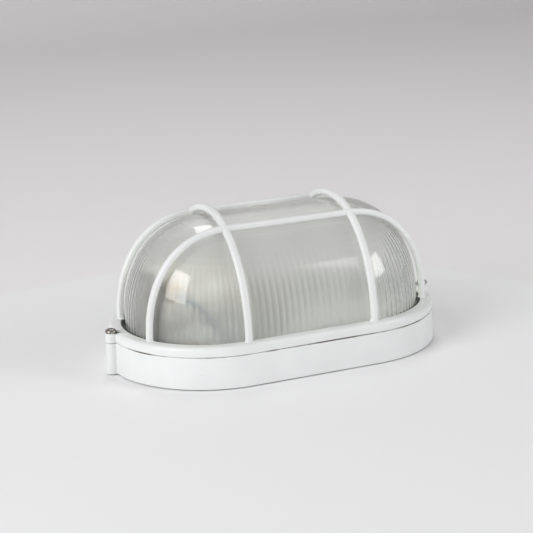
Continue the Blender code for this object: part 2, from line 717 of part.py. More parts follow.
def make_bracket():
    """The steel angle that carries the lampholder, with its four screws."""
    half = BRACKET_WIDTH / 2
    top = HOLDER_AXIS_Z + BRACKET_TOP
    bm = bmesh.new()
    plate = BRACKET_THICKNESS
    bend = plate * BRACKET_BEND
    side_view = [(bend - plate, FOOT_Z), (BRACKET_FOOT, FOOT_Z), (BRACKET_FOOT, FOOT_Z + plate),
                 (bend, FOOT_Z + plate), (0, FOOT_Z + plate + bend), (0, top),
                 (-plate, top), (-plate, FOOT_Z + bend)]
    skin(bm, [[(BRACKET_X + x, y, z) for x, z in side_view] for y in (-half, half)], False)
    bracket = add_object("lampholder_bracket", bm, ZINC_STEEL)
    for name, side in (("front", -1), ("back", 1)):
        place = (BRACKET_X + BRACKET_SCREW_X, side * BRACKET_SCREW_Y, FOOT_Z + plate + TOUCH)
        cut(bracket, rod(SMALL_HOLE_RADIUS, plate * 3, (place[0], place[1], FOOT_Z - plate), segments=12))
        screw = pan_screw(f"{name}_bracket_screw", SMALL_SCREW_RADIUS, plate + 2 * TOUCH + BOSS_HEIGHT,
                          SMALL_HEAD_RADIUS, SMALL_HEAD_HEIGHT, ZINC_STEEL, 12)
        stand(screw, place)
        place = (BRACKET_X - plate - TOUCH, side * HOLDER_SCREW_Y, HOLDER_AXIS_Z - NOTCH_FLOOR)
        start = (BRACKET_X - 2 * plate, place[1], place[2])
        cut(bracket, rod(SMALL_HOLE_RADIUS, plate * 3, start, "+X", 12))
        screw = pan_screw(f"{name}_holder_screw", SMALL_SCREW_RADIUS,
                          TOUCH + plate + TOUCH + FIXING_SCREW_LENGTH - TOUCH,
                          SMALL_HEAD_RADIUS, SMALL_HEAD_HEIGHT, ZINC_STEEL, 12)
        stand(screw, place, "-X")


def terminal_centre(side):
    """Middle of a lampholder terminal in its notch, on the front (-1) or the back (1)."""
    length, width, height = TERMINAL_SIZE
    x = HOLDER_BACK_X + NOTCH_LENGTH - TOUCH - length / 2
    y = side * (NOTCH_INNER_Y + TOUCH + width / 2)
    z = HOLDER_AXIS_Z + NOTCH_FLOOR + TOUCH + height / 2
    return x, y, z


def make_terminals():
    """The two brass terminals in the notches of the lampholder, each with its clamp screw."""
    length, width, height = TERMINAL_SIZE
    for name, side in (("neutral", -1), ("line", 1)):
        x, y, z = terminal_centre(side)
        low = (x - length / 2, y - width / 2, z - height / 2)
        high = (x + length / 2, y + width / 2, z + height / 2)
        terminal = block(f"{name}_terminal", low, high, BRASS, EDGE_ROUND)
        towards = "+Y" if side > 0 else "-Y"
        cut(terminal, rod(LEAD_HOLE_RADIUS, width, (x, y - side * width / 4, z), towards, 12))
        cut(terminal, rod(SMALL_HOLE_RADIUS, height, (x, y, z), "+Z", 12))
        drop = height / 2 - LEAD_RADIUS
        screw = slot_screw(f"{name}_terminal_screw", SMALL_SCREW_RADIUS, drop,
                           TERMINAL_HEAD_RADIUS, SMALL_HEAD_HEIGHT, BRASS)
        stand(screw, (x, y, z + height / 2 + TOUCH))


def pole_x(pole):
    """Where a pole of the terminal block lies along the light; -1 is the line, 1 the neutral."""
    return BLOCK_X + pole * BLOCK_POLE_PITCH / 2


def make_terminal_block():
    """The two way block on its boss: body, brass clamps, clamp screws and fixing screw."""
    base = BOSS_TOP + TOUCH
    axis_z = base + CLAMP_RISE
    low = (BLOCK_X - BLOCK_LENGTH / 2, BLOCK_Y - BLOCK_DEPTH / 2, base)
    high = (BLOCK_X + BLOCK_LENGTH / 2, BLOCK_Y + BLOCK_DEPTH / 2, base + BLOCK_HEIGHT)
    body = block("terminal_block", low, high, CREAM_PLASTIC, 2 * EDGE_ROUND)
    bore = CLAMP_RADIUS + TOUCH
    for name, pole in (("line", -1), ("neutral", 1)):
        x = pole_x(pole)
        cut(body, rod(bore, BLOCK_DEPTH + 2 * CUT_PAST,
                      (x, BLOCK_Y - BLOCK_DEPTH / 2 - CUT_PAST, axis_z), "+Y", 16))
        clamp = turned(f"{name}_clamp", [(CLAMP_BORE, 0), (CLAMP_RADIUS, 0), (CLAMP_RADIUS, CLAMP_LENGTH),
                                         (CLAMP_BORE, CLAMP_LENGTH)], BRASS, segments=16, closed=True)
        stand(clamp, (x, BLOCK_Y - CLAMP_LENGTH / 2, axis_z), "+Y")
        for use, side in (("lead", -1), ("supply", 1)):
            y = BLOCK_Y + side * BLOCK_SCREW_Y
            shaft = GRUB_RADIUS + SCREW_CLEARANCE
            cut(body, rod(shaft, BLOCK_HEIGHT, (x, y, axis_z), "+Z", 12))
            cut(clamp, rod(shaft, CLAMP_RADIUS * 2, (x, y, axis_z), "+Z", 12))
            tip = LEAD_RADIUS + TOUCH
            length = BLOCK_HEIGHT - GRUB_SINK - CLAMP_RISE - tip
            screw = turned(f"{name}_{use}_screw", [(GRUB_RADIUS, 0), (GRUB_RADIUS, length)], BRASS, 12)
            cut_slot(screw, GRUB_RADIUS, length, GRUB_RADIUS * RECESS_DEPTH)
            stand(screw, (x, y, axis_z + tip))
    cut(body, rod(GRUB_RADIUS + SCREW_CLEARANCE, BLOCK_HEIGHT + 2 * CUT_PAST,
                  (BLOCK_X, BLOCK_Y, base - CUT_PAST), "+Z", 12))
    fixing = slot_screw("block_fixing_screw", GRUB_RADIUS, TOUCH + BLOCK_HEIGHT + TOUCH + BOSS_HEIGHT,
                        BLOCK_HEAD_RADIUS, SMALL_HEAD_HEIGHT, ZINC_STEEL)
    stand(fixing, (BLOCK_X, BLOCK_Y, base + BLOCK_HEIGHT + TOUCH))


def make_earth_point():
    """The earth screw with its cup washer on a boss of the tray."""
    washer = turned("earth_washer", [
        (SMALL_HOLE_RADIUS, 0), (EARTH_WASHER_RADIUS, 0), (EARTH_WASHER_RADIUS, EARTH_WASHER_HEIGHT),
        (SMALL_HOLE_RADIUS, EARTH_WASHER_HEIGHT)], ZINC_STEEL, segments=16, closed=True)
    stand(washer, (EARTH_X, EARTH_Y, BOSS_TOP + TOUCH))
    screw = pan_screw("earth_screw", SMALL_SCREW_RADIUS, EARTH_WASHER_HEIGHT + 2 * TOUCH + BOSS_HEIGHT,
                      SMALL_HEAD_RADIUS, SMALL_HEAD_HEIGHT, ZINC_STEEL, 12)
    stand(screw, (EARTH_X, EARTH_Y, BOSS_TOP + EARTH_WASHER_HEIGHT + 2 * TOUCH))


def make_grommet():
    """The rubber ring in the cable hole, its lips gripping the floor from both sides."""
    neck = ENTRY_RADIUS - TOUCH
    lip = ENTRY_RADIUS + GROMMET_LIP
    under = BACK_RECESS - TOUCH
    over = FLOOR_TOP + TOUCH
    grommet = turned("cable_grommet", [
        (GROMMET_BORE, under - GROMMET_FLANGE), (lip, under - GROMMET_FLANGE), (lip, under), (neck, under),
        (neck, over), (lip, over), (lip, over + GROMMET_FLANGE), (GROMMET_BORE, over + GROMMET_FLANGE),
    ], DARK_RUBBER, segments=24, closed=True)
    stand(grommet, (ENTRY_X, ENTRY_Y, 0))


def smooth_route(points):
    """Evenly spaced points on a smooth curve through the route's own points."""
    knots = np.array(points)
    padded = np.vstack([2 * knots[0] - knots[1], knots, 2 * knots[-1] - knots[-2]])
    dense = []
    for p0, p1, p2, p3 in zip(padded, padded[1:], padded[2:], padded[3:]):
        for t in np.linspace(0, 1, 16, endpoint=False):
            dense.append(0.5 * (2 * p1 + (p2 - p0) * t + (2 * p0 - 5 * p1 + 4 * p2 - p3) * t ** 2
                                + (3 * p1 - p0 - 3 * p2 + p3) * t ** 3))
    dense.append(knots[-1])
    dense = np.array(dense)
    along = np.concatenate([[0], np.cumsum(np.linalg.norm(np.diff(dense, axis=0), axis=1))])
    count = max(8, round(along[-1] / LEAD_STEP)) + 1
    even = np.linspace(0, along[-1], count)
    return np.column_stack([np.interp(even, along, dense[:, i]) for i in range(3)])


def make_lead(name, route, finish):
    """A round insulated wire as a bevelled curve along its route."""
    points = smooth_route(route)
    curve = bpy.data.curves.new(name, "CURVE")
    curve.dimensions = "3D"
    curve.bevel_depth = LEAD_RADIUS
    curve.bevel_resolution = 2
    curve.use_fill_caps = True
    spline = curve.splines.new("POLY")
    spline.points.add(len(points) - 1)
    spline.points.foreach_set("co", np.column_stack([points, np.ones(len(points))]).ravel())
    item = bpy.data.objects.new(name, curve)
    colour, roughness, metallic = finish
    material = bpy.data.materials.new(name)
    material.use_nodes = True
    shader = material.node_tree.nodes["Principled BSDF"]
    shader.inputs["Base Color"].default_value = colour
    shader.inputs["Roughness"].default_value = roughness
    curve.materials.append(material)
    bpy.context.scene.collection.objects.link(item)


def make_leads():
    """Blue and brown wires from the lampholder terminals to the front of the terminal block."""
    clamp_z = BOSS_TOP + TOUCH + CLAMP_RISE
    clamp_y = BLOCK_Y - BLOCK_DEPTH / 2
    end = HOLDER_BACK_X
    x, y, z = terminal_centre(-1)
    neutral = [(x, y - 0.0020, z), (x + 0.0005, y - 0.0110, z - 0.0005), (end + 0.0127, -0.0280, 0.0410),
               (end + 0.0197, -0.0275, 0.0340), (end + 0.0257, -0.0265, 0.0240),
               (end + 0.0327, -0.0200, 0.0160), (-0.0280, -0.0080, 0.0125), (-0.0120, 0.0040, 0.0118),
               (0.0040, 0.0120, 0.0122), (pole_x(1) - 0.0010, clamp_y - 0.0085, clamp_z),
               (pole_x(1), clamp_y, clamp_z), (pole_x(1), clamp_y + LEAD_INSIDE, clamp_z)]
    make_lead("neutral_lead", neutral, BLUE_PVC)
    x, y, z = terminal_centre(1)
    line = [(x, y + 0.0020, z), (x - 0.0005, y + 0.0105, z - 0.0010), (end + 0.0052, 0.0275, 0.0370),
            (end + 0.0047, 0.0250, 0.0260), (end + 0.0057, 0.0160, 0.0165), (end + 0.0062, 0.0030, 0.0145),
            (end + 0.0062, -0.0120, 0.0150), (end + 0.0097, -0.0225, 0.0170),
            (end + 0.0197, -0.0275, 0.0160), (end + 0.0317, -0.0260, 0.0100), (-0.0280, -0.0170, 0.0065),
            (-0.0160, -0.0040, 0.0060), (-0.0050, 0.0100, 0.0072),
            (pole_x(-1) - 0.0010, clamp_y - 0.0085, clamp_z),
            (pole_x(-1), clamp_y, clamp_z), (pole_x(-1), clamp_y + LEAD_INSIDE, clamp_z)]
    make_lead("line_lead", line, BROWN_PVC)


def carrier(name, place):
    """An empty that carries the pieces of one moving group."""
    empty = bpy.data.objects.new(name, None)
    empty.location = place
    bpy.context.scene.collection.objects.link(empty)
    return empty


def hang(parent, items):
    """Parent pieces to an empty and keep them where they are."""
    bpy.context.view_layer.update()
    for item in items:
        item.parent = parent
        item.matrix_parent_inverse = parent.matrix_world.inverted()


make_housing()
make_lampholder()
make_shell()
make_bracket()
make_terminals()
make_terminal_block()
make_earth_point()
make_grommet()
make_leads()
cover_pieces = [make_guard(), make_glass(), make_gaskets(), *make_cover_screws()]
hang(carrier("cover", (0, 0, RING_Z)), cover_pieces)
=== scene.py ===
# %% [markdown]
# # An oval wall light with a barred guard
#
# This lesson dresses a wall light: a white cast tray, a guard of white bars over a ribbed glass dome, and the
# lampholder and wiring behind the glass. The pieces at their real size come first, as a fixed frame. Every
# new piece is then worked out from that frame, so it sits where the real one does.

# %% Load the frame
import json
import math

import bmesh
import bpy
import numpy as np
from mathutils import Matrix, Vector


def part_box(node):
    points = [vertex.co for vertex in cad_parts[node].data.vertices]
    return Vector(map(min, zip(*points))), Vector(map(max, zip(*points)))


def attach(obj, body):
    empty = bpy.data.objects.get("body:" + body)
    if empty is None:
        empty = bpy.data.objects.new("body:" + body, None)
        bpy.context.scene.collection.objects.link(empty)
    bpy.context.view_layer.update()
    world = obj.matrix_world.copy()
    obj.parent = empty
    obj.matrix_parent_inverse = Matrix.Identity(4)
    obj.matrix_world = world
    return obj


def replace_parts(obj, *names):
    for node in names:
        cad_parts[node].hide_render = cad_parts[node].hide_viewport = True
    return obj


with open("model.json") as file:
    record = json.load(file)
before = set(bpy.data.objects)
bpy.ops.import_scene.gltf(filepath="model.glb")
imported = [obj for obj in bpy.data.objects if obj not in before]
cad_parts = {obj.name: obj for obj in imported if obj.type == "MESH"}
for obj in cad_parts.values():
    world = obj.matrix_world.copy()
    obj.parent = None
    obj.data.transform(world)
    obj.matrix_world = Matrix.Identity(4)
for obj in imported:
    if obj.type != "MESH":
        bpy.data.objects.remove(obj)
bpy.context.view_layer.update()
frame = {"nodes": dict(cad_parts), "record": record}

MM = 0.001
print("pieces in the frame:", len(frame["nodes"]))

# %% [markdown]
# ## The camera
#
# The outline of the tray is an oval of known proportions, so its place in the picture fixes where the camera
# stood: low, to the left of the middle, and not quite level. A lens this long keeps the far end of the
# light nearly as large as the near end. The camera could be aimed with a constraint, but the small roll and
# the off-centre aim are easier to give as three turned axes.

# %% Place the camera
CAMERA_AZIMUTH, CAMERA_ELEVATION = math.radians(-23.92), math.radians(15.35)
CAMERA_ROLL, CAMERA_PAN, CAMERA_TILT = math.radians(-1.8), math.radians(-0.2), math.radians(0.26)
CAMERA_DISTANCE = 912.43 * MM
CAMERA_TARGET = np.array((0.0, 0.0, 45.0 * MM))
SENSOR_WIDTH, LENS = 36.0, 104.68


def turn_pair(first, second, angle):
    """Two perpendicular axes turned together, the first towards the second by the angle."""
    cos, sin = math.cos(angle), math.sin(angle)
    return first * cos + second * sin, second * cos - first * sin


away = np.array((math.cos(CAMERA_ELEVATION) * math.sin(CAMERA_AZIMUTH),
                 -math.cos(CAMERA_ELEVATION) * math.cos(CAMERA_AZIMUTH), math.sin(CAMERA_ELEVATION)))
ahead = -away
right = np.cross(ahead, (0.0, 0.0, 1.0))
right /= np.linalg.norm(right)
up = np.cross(right, ahead)
right, up = turn_pair(right, up, CAMERA_ROLL)
ahead, right = turn_pair(ahead, right, CAMERA_PAN)
ahead, up = turn_pair(ahead, up, CAMERA_TILT)
camera = bpy.data.objects.new("camera", bpy.data.cameras.new("camera"))
bpy.context.scene.collection.objects.link(camera)
camera.data.sensor_width, camera.data.lens = SENSOR_WIDTH, LENS
axes = np.eye(4)
axes[:3, 0], axes[:3, 1], axes[:3, 2] = right, up, -ahead
axes[:3, 3] = CAMERA_TARGET + CAMERA_DISTANCE * away
camera.matrix_world = Matrix(axes.tolist())
bpy.context.scene.camera = camera
print("camera at", np.round(axes[:3, 3], 4))

# %% [markdown]
# ## One helper for every material
#
# Shader trees are easiest to read when a node, its settings and its links sit on one line. `add` makes any
# kind of node. A value that is another node's socket is linked, and any other value is set. Colours are
# written as the sRGB values that a colour picker shows, and one function turns them into linear light.

# %% Colour and node helpers
def linear(code):
    """A hex colour as linear light: the low end is a straight line, the rest the 2.4 power curve."""
    share = np.array([int(code[i:i + 2], 16) for i in (1, 3, 5)]) / 255
    light = np.where(share <= 0.04045, share / 12.92, ((share + 0.055) / 1.055) ** 2.4)
    return (*light.tolist(), 1.0)


def add(tree, kind, sockets=None, **settings):
    """One shader node with its settings; sockets maps an input's name or number to a value or a link."""
    made = tree.nodes.new("ShaderNode" + kind)
    for name, value in settings.items():
        setattr(made, name, value)
    for key, value in (sockets or {}).items():
        if isinstance(value, bpy.types.NodeSocket):
            tree.links.new(value, made.inputs[key])
        else:
            made.inputs[key].default_value = value
    return made


def new_material(name):
    """An empty material: its tree, its Principled shader and the place of each point in metres."""
    made = bpy.data.materials.new(name)
    made.use_nodes = True
    tree = made.node_tree
    place = add(tree, "TexCoord").outputs["Object"]
    return made, tree, tree.nodes["Principled BSDF"], place


def noise(tree, place, size, detail=2.0, stretch=None):
    """Noise whose blotches measure about the given size in metres; a stretch below 1 draws them out."""
    if stretch:
        place = add(tree, "Mapping", {"Vector": place, "Scale": stretch}).outputs["Vector"]
    return add(tree, "TexNoise", {"Vector": place, "Scale": 0.5 / size, "Detail": detail}).outputs["Fac"]


def spread(tree, value, low, high, start=0.35, end=0.65):
    """A noise value stretched from the band where it mostly lies to the range low to high."""
    return add(tree, "MapRange", {"Value": value, "From Min": start, "From Max": end,
                                  "To Min": low, "To Max": high}).outputs["Result"]


def blend_colours(tree, share, first, second):
    """A mix of two colours, either of them a hex code or a colour socket."""
    colours = {key: linear(value) if isinstance(value, str) else value
               for key, value in ((6, first), (7, second))}
    return add(tree, "Mix", {0: share, **colours}, data_type="RGBA").outputs[2]


def bumpy(tree, height, depth):
    """A bump whose full range of height stands for a relief of that depth in metres."""
    return add(tree, "Bump", {"Height": height, "Strength": 1.0, "Distance": depth}).outputs["Normal"]


print("helpers ready")

# %% [markdown]
# ## Floor, backdrop and lamps
#
# The light lies on its back on a pale floor. Floor and backdrop could be two sheets, but one sheet that
# curves up far behind the object has no corner to show. A round patch under the light is a shade cooler
# than the rest. Four soft lamps light the scene, and the mirror images in the glass say where they stand:
# a large one at the left, a smaller one at the right with a narrow glow beside it, and one overhead,
# slightly behind. The world fills in the rest. It is brightest at the horizon, as in a white room, and
# dims overhead, so the top of the glass keeps its contrast.

# %% Floor and backdrop
# All in metres
FLOOR_NEAR, FLOOR_FAR, FLOOR_SIDE = -8.0, 1.5, 8.0
BACKDROP_RADIUS, BACKDROP_TOP = 0.5, 3.0
CURVE_STEPS = 13
PATCH_CENTRE, PATCH_RADIUS, PATCH_EDGE = (-0.033, -0.046, 0.0), 0.253, 0.006
PATCH_TONE, PAPER_TONE = "#F6F6F7", "#F4F2F3"


def backdrop_sheet():
    """A sheet with one profile across: level ground, a quarter circle, then straight up."""
    turn = np.radians(np.linspace(0, 90, CURVE_STEPS))
    y = np.concatenate([[FLOOR_NEAR, 0.0], FLOOR_FAR + BACKDROP_RADIUS * np.sin(turn),
                        [FLOOR_FAR + BACKDROP_RADIUS]])
    z = np.concatenate([[0.0, 0.0], BACKDROP_RADIUS * (1 - np.cos(turn)), [BACKDROP_TOP]])
    points = np.array([np.column_stack([np.full(len(y), x), y, z]) for x in (-FLOOR_SIDE, FLOOR_SIDE)])
    rows = np.arange(len(y) - 1)
    faces = np.column_stack([rows, rows + len(y), rows + len(y) + 1, rows + 1])
    mesh = bpy.data.meshes.new("backdrop")
    mesh.from_pydata(points.reshape(-1, 3).tolist(), [], faces.tolist())
    mesh.shade_smooth()
    return mesh


backdrop = bpy.data.objects.new("backdrop", backdrop_sheet())
bpy.context.scene.collection.objects.link(backdrop)
paper, tree, shader, place = new_material("matt_paper")
reach = add(tree, "VectorMath", {0: place, 1: PATCH_CENTRE}, operation="DISTANCE").outputs["Value"]
share = add(tree, "MapRange", {"Value": reach, "From Min": PATCH_RADIUS - PATCH_EDGE,
                               "From Max": PATCH_RADIUS + PATCH_EDGE}).outputs["Result"]
tree.links.new(blend_colours(tree, share, PATCH_TONE, PAPER_TONE), shader.inputs["Base Color"])
shader.inputs["Roughness"].default_value = 0.9
backdrop.data.materials.append(paper)
print("floor reaches from", FLOOR_NEAR, "to", FLOOR_FAR)

# %% Lamps and world
ROOM_TONE, SKY_AT_HORIZON, SKY_OVERHEAD = "#F6F6F6", 0.64, 0.24
LAMPS = (
    # name, compass angle and height angle in degrees, distance, width and height in metres, watts
    ("left_window", -70.0, 27.0, 1.6, 0.82, 0.84, 14.4),
    ("right_window", 47.5, 23.0, 1.6, 0.48, 0.52, 5.9),
    ("right_glow", 33.0, 29.0, 1.6, 0.14, 0.50, 0.7),
    ("overhead", 163.0, 63.0, 1.5, 0.36, 0.44, 3.0),
)


def softbox(name, azimuth, elevation, distance, width, height, power):
    """A rectangular area lamp that faces the light from a compass direction and a height angle."""
    azimuth, elevation = math.radians(azimuth), math.radians(elevation)
    direction = np.array((math.cos(elevation) * math.sin(azimuth), -math.cos(elevation) * math.cos(azimuth),
                          math.sin(elevation)))
    lamp = bpy.data.lights.new(name, "AREA")
    lamp.shape, lamp.size, lamp.size_y, lamp.energy = "RECTANGLE", width, height, power
    item = bpy.data.objects.new(name, lamp)
    bpy.context.scene.collection.objects.link(item)
    side = np.cross((0.0, 0.0, 1.0), direction)
    side /= np.linalg.norm(side)
    frame_axes = np.eye(4)
    frame_axes[:3, 0], frame_axes[:3, 1], frame_axes[:3, 2] = side, np.cross(direction, side), direction
    frame_axes[:3, 3] = CAMERA_TARGET + direction * distance
    item.matrix_world = Matrix(frame_axes.tolist())
    return item


for lamp_values in LAMPS:
    softbox(*lamp_values)
world = bpy.data.worlds.new("room")
world.use_nodes = True
tree, sky = world.node_tree, world.node_tree.nodes["Background"]
sky.inputs["Color"].default_value = linear(ROOM_TONE)
height = add(tree, "SeparateXYZ", {"Vector": add(tree, "TexCoord").outputs["Generated"]}).outputs["Z"]
glow = add(tree, "MapRange", {"Value": height, "To Min": SKY_AT_HORIZON, "To Max": SKY_OVERHEAD})
tree.links.new(glow.outputs["Result"], sky.inputs["Strength"])
bpy.context.scene.world = world
bpy.context.scene.view_settings.view_transform = "Standard"

# %% [markdown]
# ## Stove enamel on a die casting
#
# Tray and guard are aluminium castings with a white baked coating. The coat is satin: it levels out to a
# very faint orange peel about a millimetre across and takes a soft highlight. Shade is painted in patches
# along the seam between the two castings, where the gap between them lies in shadow. It could be painted on
# by hand, but a band of height about the seam, broken up by noise, follows the seam all the way round. The
# narrow step round the back, next to the floor, gets painted shade all the way round.

# %% White enamel
SEAM_MIDDLE = (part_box("housing")[1][2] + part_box("guard_frame")[0][2]) / 2
# Heights of the painted shade: full up to the first and gone at the second, off the seam's middle and above
# the floor
SEAM_SHADE_FULL, SEAM_SHADE_NONE = 0.25 * MM, 0.55 * MM
FOOT_SHADE_FULL, FOOT_SHADE_NONE = 0.45 * MM, 0.70 * MM


def stove_enamel():
    """White, slightly cool; fine peel in the bump, broad faint clouds in tone and gloss.

    A few specks of dust lie under the coat. Painted shade darkens the seam in patches and the foot all round."""
    made, tree, shader, place = new_material("stove_enamel")
    cloud = spread(tree, noise(tree, place, 14 * MM, 3.0), 0.0, 1.0)
    colour = blend_colours(tree, cloud, "#ECEDED", "#E6E7E7")
    speck = add(tree, "TexVoronoi", {"Vector": place, "Scale": 1 / (9 * MM)}).outputs["Distance"]
    dust = spread(tree, speck, 1.0, 0.0, 0.010, 0.035)
    dusty = blend_colours(tree, dust, colour, "#A9A49B")
    height = add(tree, "SeparateXYZ", {"Vector": place}).outputs["Z"]
    # Painted shade: a band about the seam, broken into patches by noise, where the gap between the castings
    # lies in shadow
    off_seam = add(tree, "Math", {0: height, 1: SEAM_MIDDLE}, operation="SUBTRACT").outputs["Value"]
    off_seam = add(tree, "Math", {0: off_seam}, operation="ABSOLUTE").outputs["Value"]
    near_seam = spread(tree, off_seam, 1.0, 0.0, SEAM_SHADE_FULL, SEAM_SHADE_NONE)
    patch = spread(tree, noise(tree, place, 12 * MM, 4.0), 0.0, 1.0, 0.42, 0.60)
    painted_shade = add(tree, "Math", {0: near_seam, 1: patch}, operation="MULTIPLY").outputs["Value"]
    # Painted shade round the foot, up to a height just above the step next to the floor
    foot = spread(tree, height, 0.9, 0.0, FOOT_SHADE_FULL, FOOT_SHADE_NONE)
    painted_shade = add(tree, "Math", {0: painted_shade, 1: foot}, operation="MAXIMUM").outputs["Value"]
    # The grey-brown is the colour of the painted shade at the seam and the foot
    tree.links.new(blend_colours(tree, painted_shade, dusty, "#6F6A61"), shader.inputs["Base Color"])
    tree.links.new(spread(tree, noise(tree, place, 5 * MM), 0.30, 0.40), shader.inputs["Roughness"])
    peel = bumpy(tree, noise(tree, place, 1.2 * MM, 1.0), 0.02 * MM)
    tree.links.new(peel, shader.inputs["Normal"])
    shader.inputs["IOR"].default_value = 1.5
    return made


enamel = stove_enamel()
print("made", enamel.name)

# %% [markdown]
# ## Pressed glass
#
# Soda-lime glass is faintly green through its edge. Pressed in a mould and fire polished, it is glossy
# outside with slight long waves, so its mirror images have soft, uneven borders. The inside keeps the
# satin skin of the plunger: the same glass, with a rough face. It blurs what lies behind, and it scatters
# a small share of the light as a white haze. A fog inside the glass could give that haze too, but a skin
# that scatters renders faster, and it brightens where the lamps reach it, as real frosting does.

# %% Glossy and satin glass
def pressed_glass(name, roughness, haze, wave_size, wave_depth):
    """Soda-lime glass with shallow waves left by the mould; it lets the lamps' light pass.

    The haze is the share of light that a frosted skin scatters instead of passing on."""
    made, tree, shader, place = new_material(name)
    shader.inputs["Base Color"].default_value = linear("#F2F2F1")
    shader.inputs["Roughness"].default_value = roughness
    shader.inputs["IOR"].default_value = 1.52
    shader.inputs["Transmission Weight"].default_value = 1.0 - haze
    waves = bumpy(tree, noise(tree, place, wave_size, 1.0), wave_depth)
    tree.links.new(waves, shader.inputs["Normal"])
    passing = add(tree, "BsdfTransparent", {"Color": linear("#EEF1EC")}).outputs["BSDF"]
    lamp_ray = add(tree, "LightPath").outputs["Is Shadow Ray"]
    mix = add(tree, "MixShader", {0: lamp_ray, 1: shader.outputs["BSDF"], 2: passing})
    tree.links.new(mix.outputs["Shader"], tree.nodes["Material Output"].inputs["Surface"])
    return made


glass = pressed_glass("polished_glass", roughness=0.09, haze=0.0, wave_size=9 * MM, wave_depth=0.05 * MM)
satin_glass = pressed_glass("satin_glass", roughness=0.46, haze=0.15, wave_size=1.5 * MM,
                            wave_depth=0.03 * MM)
print("made", glass.name, satin_glass.name)

# %% [markdown]
# ## Rubber, plated steel, brass, porcelain and plastics
#
# One flat colour each could do for pieces this small, but they show what they are made of by how their
# gloss breaks up, so each finish has noise of its own. Rubber is nearly black and matt with a bloom. Zinc
# plating is a bright grey with cloudy gloss. Brass is turned, so it has fine rings. Porcelain has a smooth
# thick glaze, and the terminal block and the wires are moulded plastics. The finest grain is drawn a
# little coarser than the real one, so that it still shows.

# %% Finishes of the small pieces
def black_rubber():
    """Extruded seal: near black, matt, with a grey bloom in patches."""
    made, tree, shader, place = new_material("black_rubber")
    bloom = spread(tree, noise(tree, place, 4 * MM, 4.0), 0.0, 0.6)
    tree.links.new(blend_colours(tree, bloom, "#23231F", "#3B3A35"), shader.inputs["Base Color"])
    tree.links.new(spread(tree, noise(tree, place, 2 * MM), 0.55, 0.8), shader.inputs["Roughness"])
    tree.links.new(bumpy(tree, noise(tree, place, 0.5 * MM), 0.03 * MM), shader.inputs["Normal"])
    return made


def zinc_plate():
    """Bright zinc on steel, cloudy, with dull warm stains where it has been handled."""
    made, tree, shader, place = new_material("zinc_plate")
    stain = spread(tree, noise(tree, place, 1.6 * MM, 4.0), 0.0, 1.0, 0.45, 0.7)
    tree.links.new(blend_colours(tree, stain, "#A8A6A1", "#7C7365"), shader.inputs["Base Color"])
    tree.links.new(spread(tree, noise(tree, place, 0.9 * MM, 3.0), 0.22, 0.42), shader.inputs["Roughness"])
    tree.links.new(bumpy(tree, noise(tree, place, 0.4 * MM), 0.012 * MM), shader.inputs["Normal"])
    shader.inputs["Metallic"].default_value = 1.0
    return made


def turned_brass():
    """Yellow brass with fine turning marks and a little brown tarnish."""
    made, tree, shader, place = new_material("turned_brass")
    tarnish = spread(tree, noise(tree, place, 3 * MM, 3.0), 0.0, 0.7, 0.45, 0.7)
    tree.links.new(blend_colours(tree, tarnish, "#D9B364", "#9C7433"), shader.inputs["Base Color"])
    rings = noise(tree, place, 0.3 * MM, 1.0, stretch=(1.0, 0.1, 0.1))
    tree.links.new(bumpy(tree, rings, 0.01 * MM), shader.inputs["Normal"])
    tree.links.new(spread(tree, noise(tree, place, 2 * MM), 0.2, 0.34), shader.inputs["Roughness"])
    shader.inputs["Metallic"].default_value = 1.0
    return made


def glazed_porcelain():
    """White porcelain: warm body under a clear glaze with long ripples and rare dark pinholes."""
    made, tree, shader, place = new_material("glazed_porcelain")
    cells = add(tree, "TexVoronoi", {"Vector": place, "Scale": 1 / (6 * MM)}).outputs["Distance"]
    pinhole = spread(tree, cells, 1.0, 0.0, 0.015, 0.04)
    body = blend_colours(tree, spread(tree, noise(tree, place, 8 * MM), 0.0, 1.0), "#E0DED8", "#D6D3CB")
    tree.links.new(blend_colours(tree, pinhole, body, "#7C766B"), shader.inputs["Base Color"])
    tree.links.new(bumpy(tree, noise(tree, place, 5 * MM), 0.05 * MM), shader.inputs["Normal"])
    tree.links.new(spread(tree, noise(tree, place, 10 * MM), 0.10, 0.18), shader.inputs["Roughness"])
    return made


def moulded_plastic(name, fresh, aged, roughness, grain):
    """Moulded or extruded plastic: two near tones, and a fine spark-eroded grain in the bump."""
    made, tree, shader, place = new_material(name)
    tone = spread(tree, noise(tree, place, 6 * MM, 2.0), 0.0, 1.0)
    tree.links.new(blend_colours(tree, tone, fresh, aged), shader.inputs["Base Color"])
    tree.links.new(bumpy(tree, noise(tree, place, grain), 0.02 * MM), shader.inputs["Normal"])
    tree.links.new(spread(tree, noise(tree, place, 3 * MM), roughness - 0.06, roughness + 0.06),
                   shader.inputs["Roughness"])
    shader.inputs["IOR"].default_value = 1.49
    return made


finish_of = {
    "white_paint": enamel, "pressed_glass": glass, "black_rubber": black_rubber(),
    "zinc_plated_steel": zinc_plate(), "brass": turned_brass(), "porcelain": glazed_porcelain(),
    "cream_plastic": moulded_plastic("cream_polyamide", "#EBE7DA", "#E0DBCB", 0.42, 0.35 * MM),
    "brown_pvc": moulded_plastic("brown_pvc", "#6E4530", "#5D3A28", 0.36, 0.5 * MM),
    "blue_pvc": moulded_plastic("blue_pvc", "#567890", "#4C6B80", 0.36, 0.5 * MM),
}
print("finishes:", sorted(finish_of))

# %% [markdown]
# ## Putting a computed surface into a mesh
#
# Every new surface is a grid of points: rows follow one parameter and columns the other. The columns close
# into a loop, and the rows may close too, as on a ring. Index arithmetic on whole arrays gives the faces, so
# no loop runs over single points.

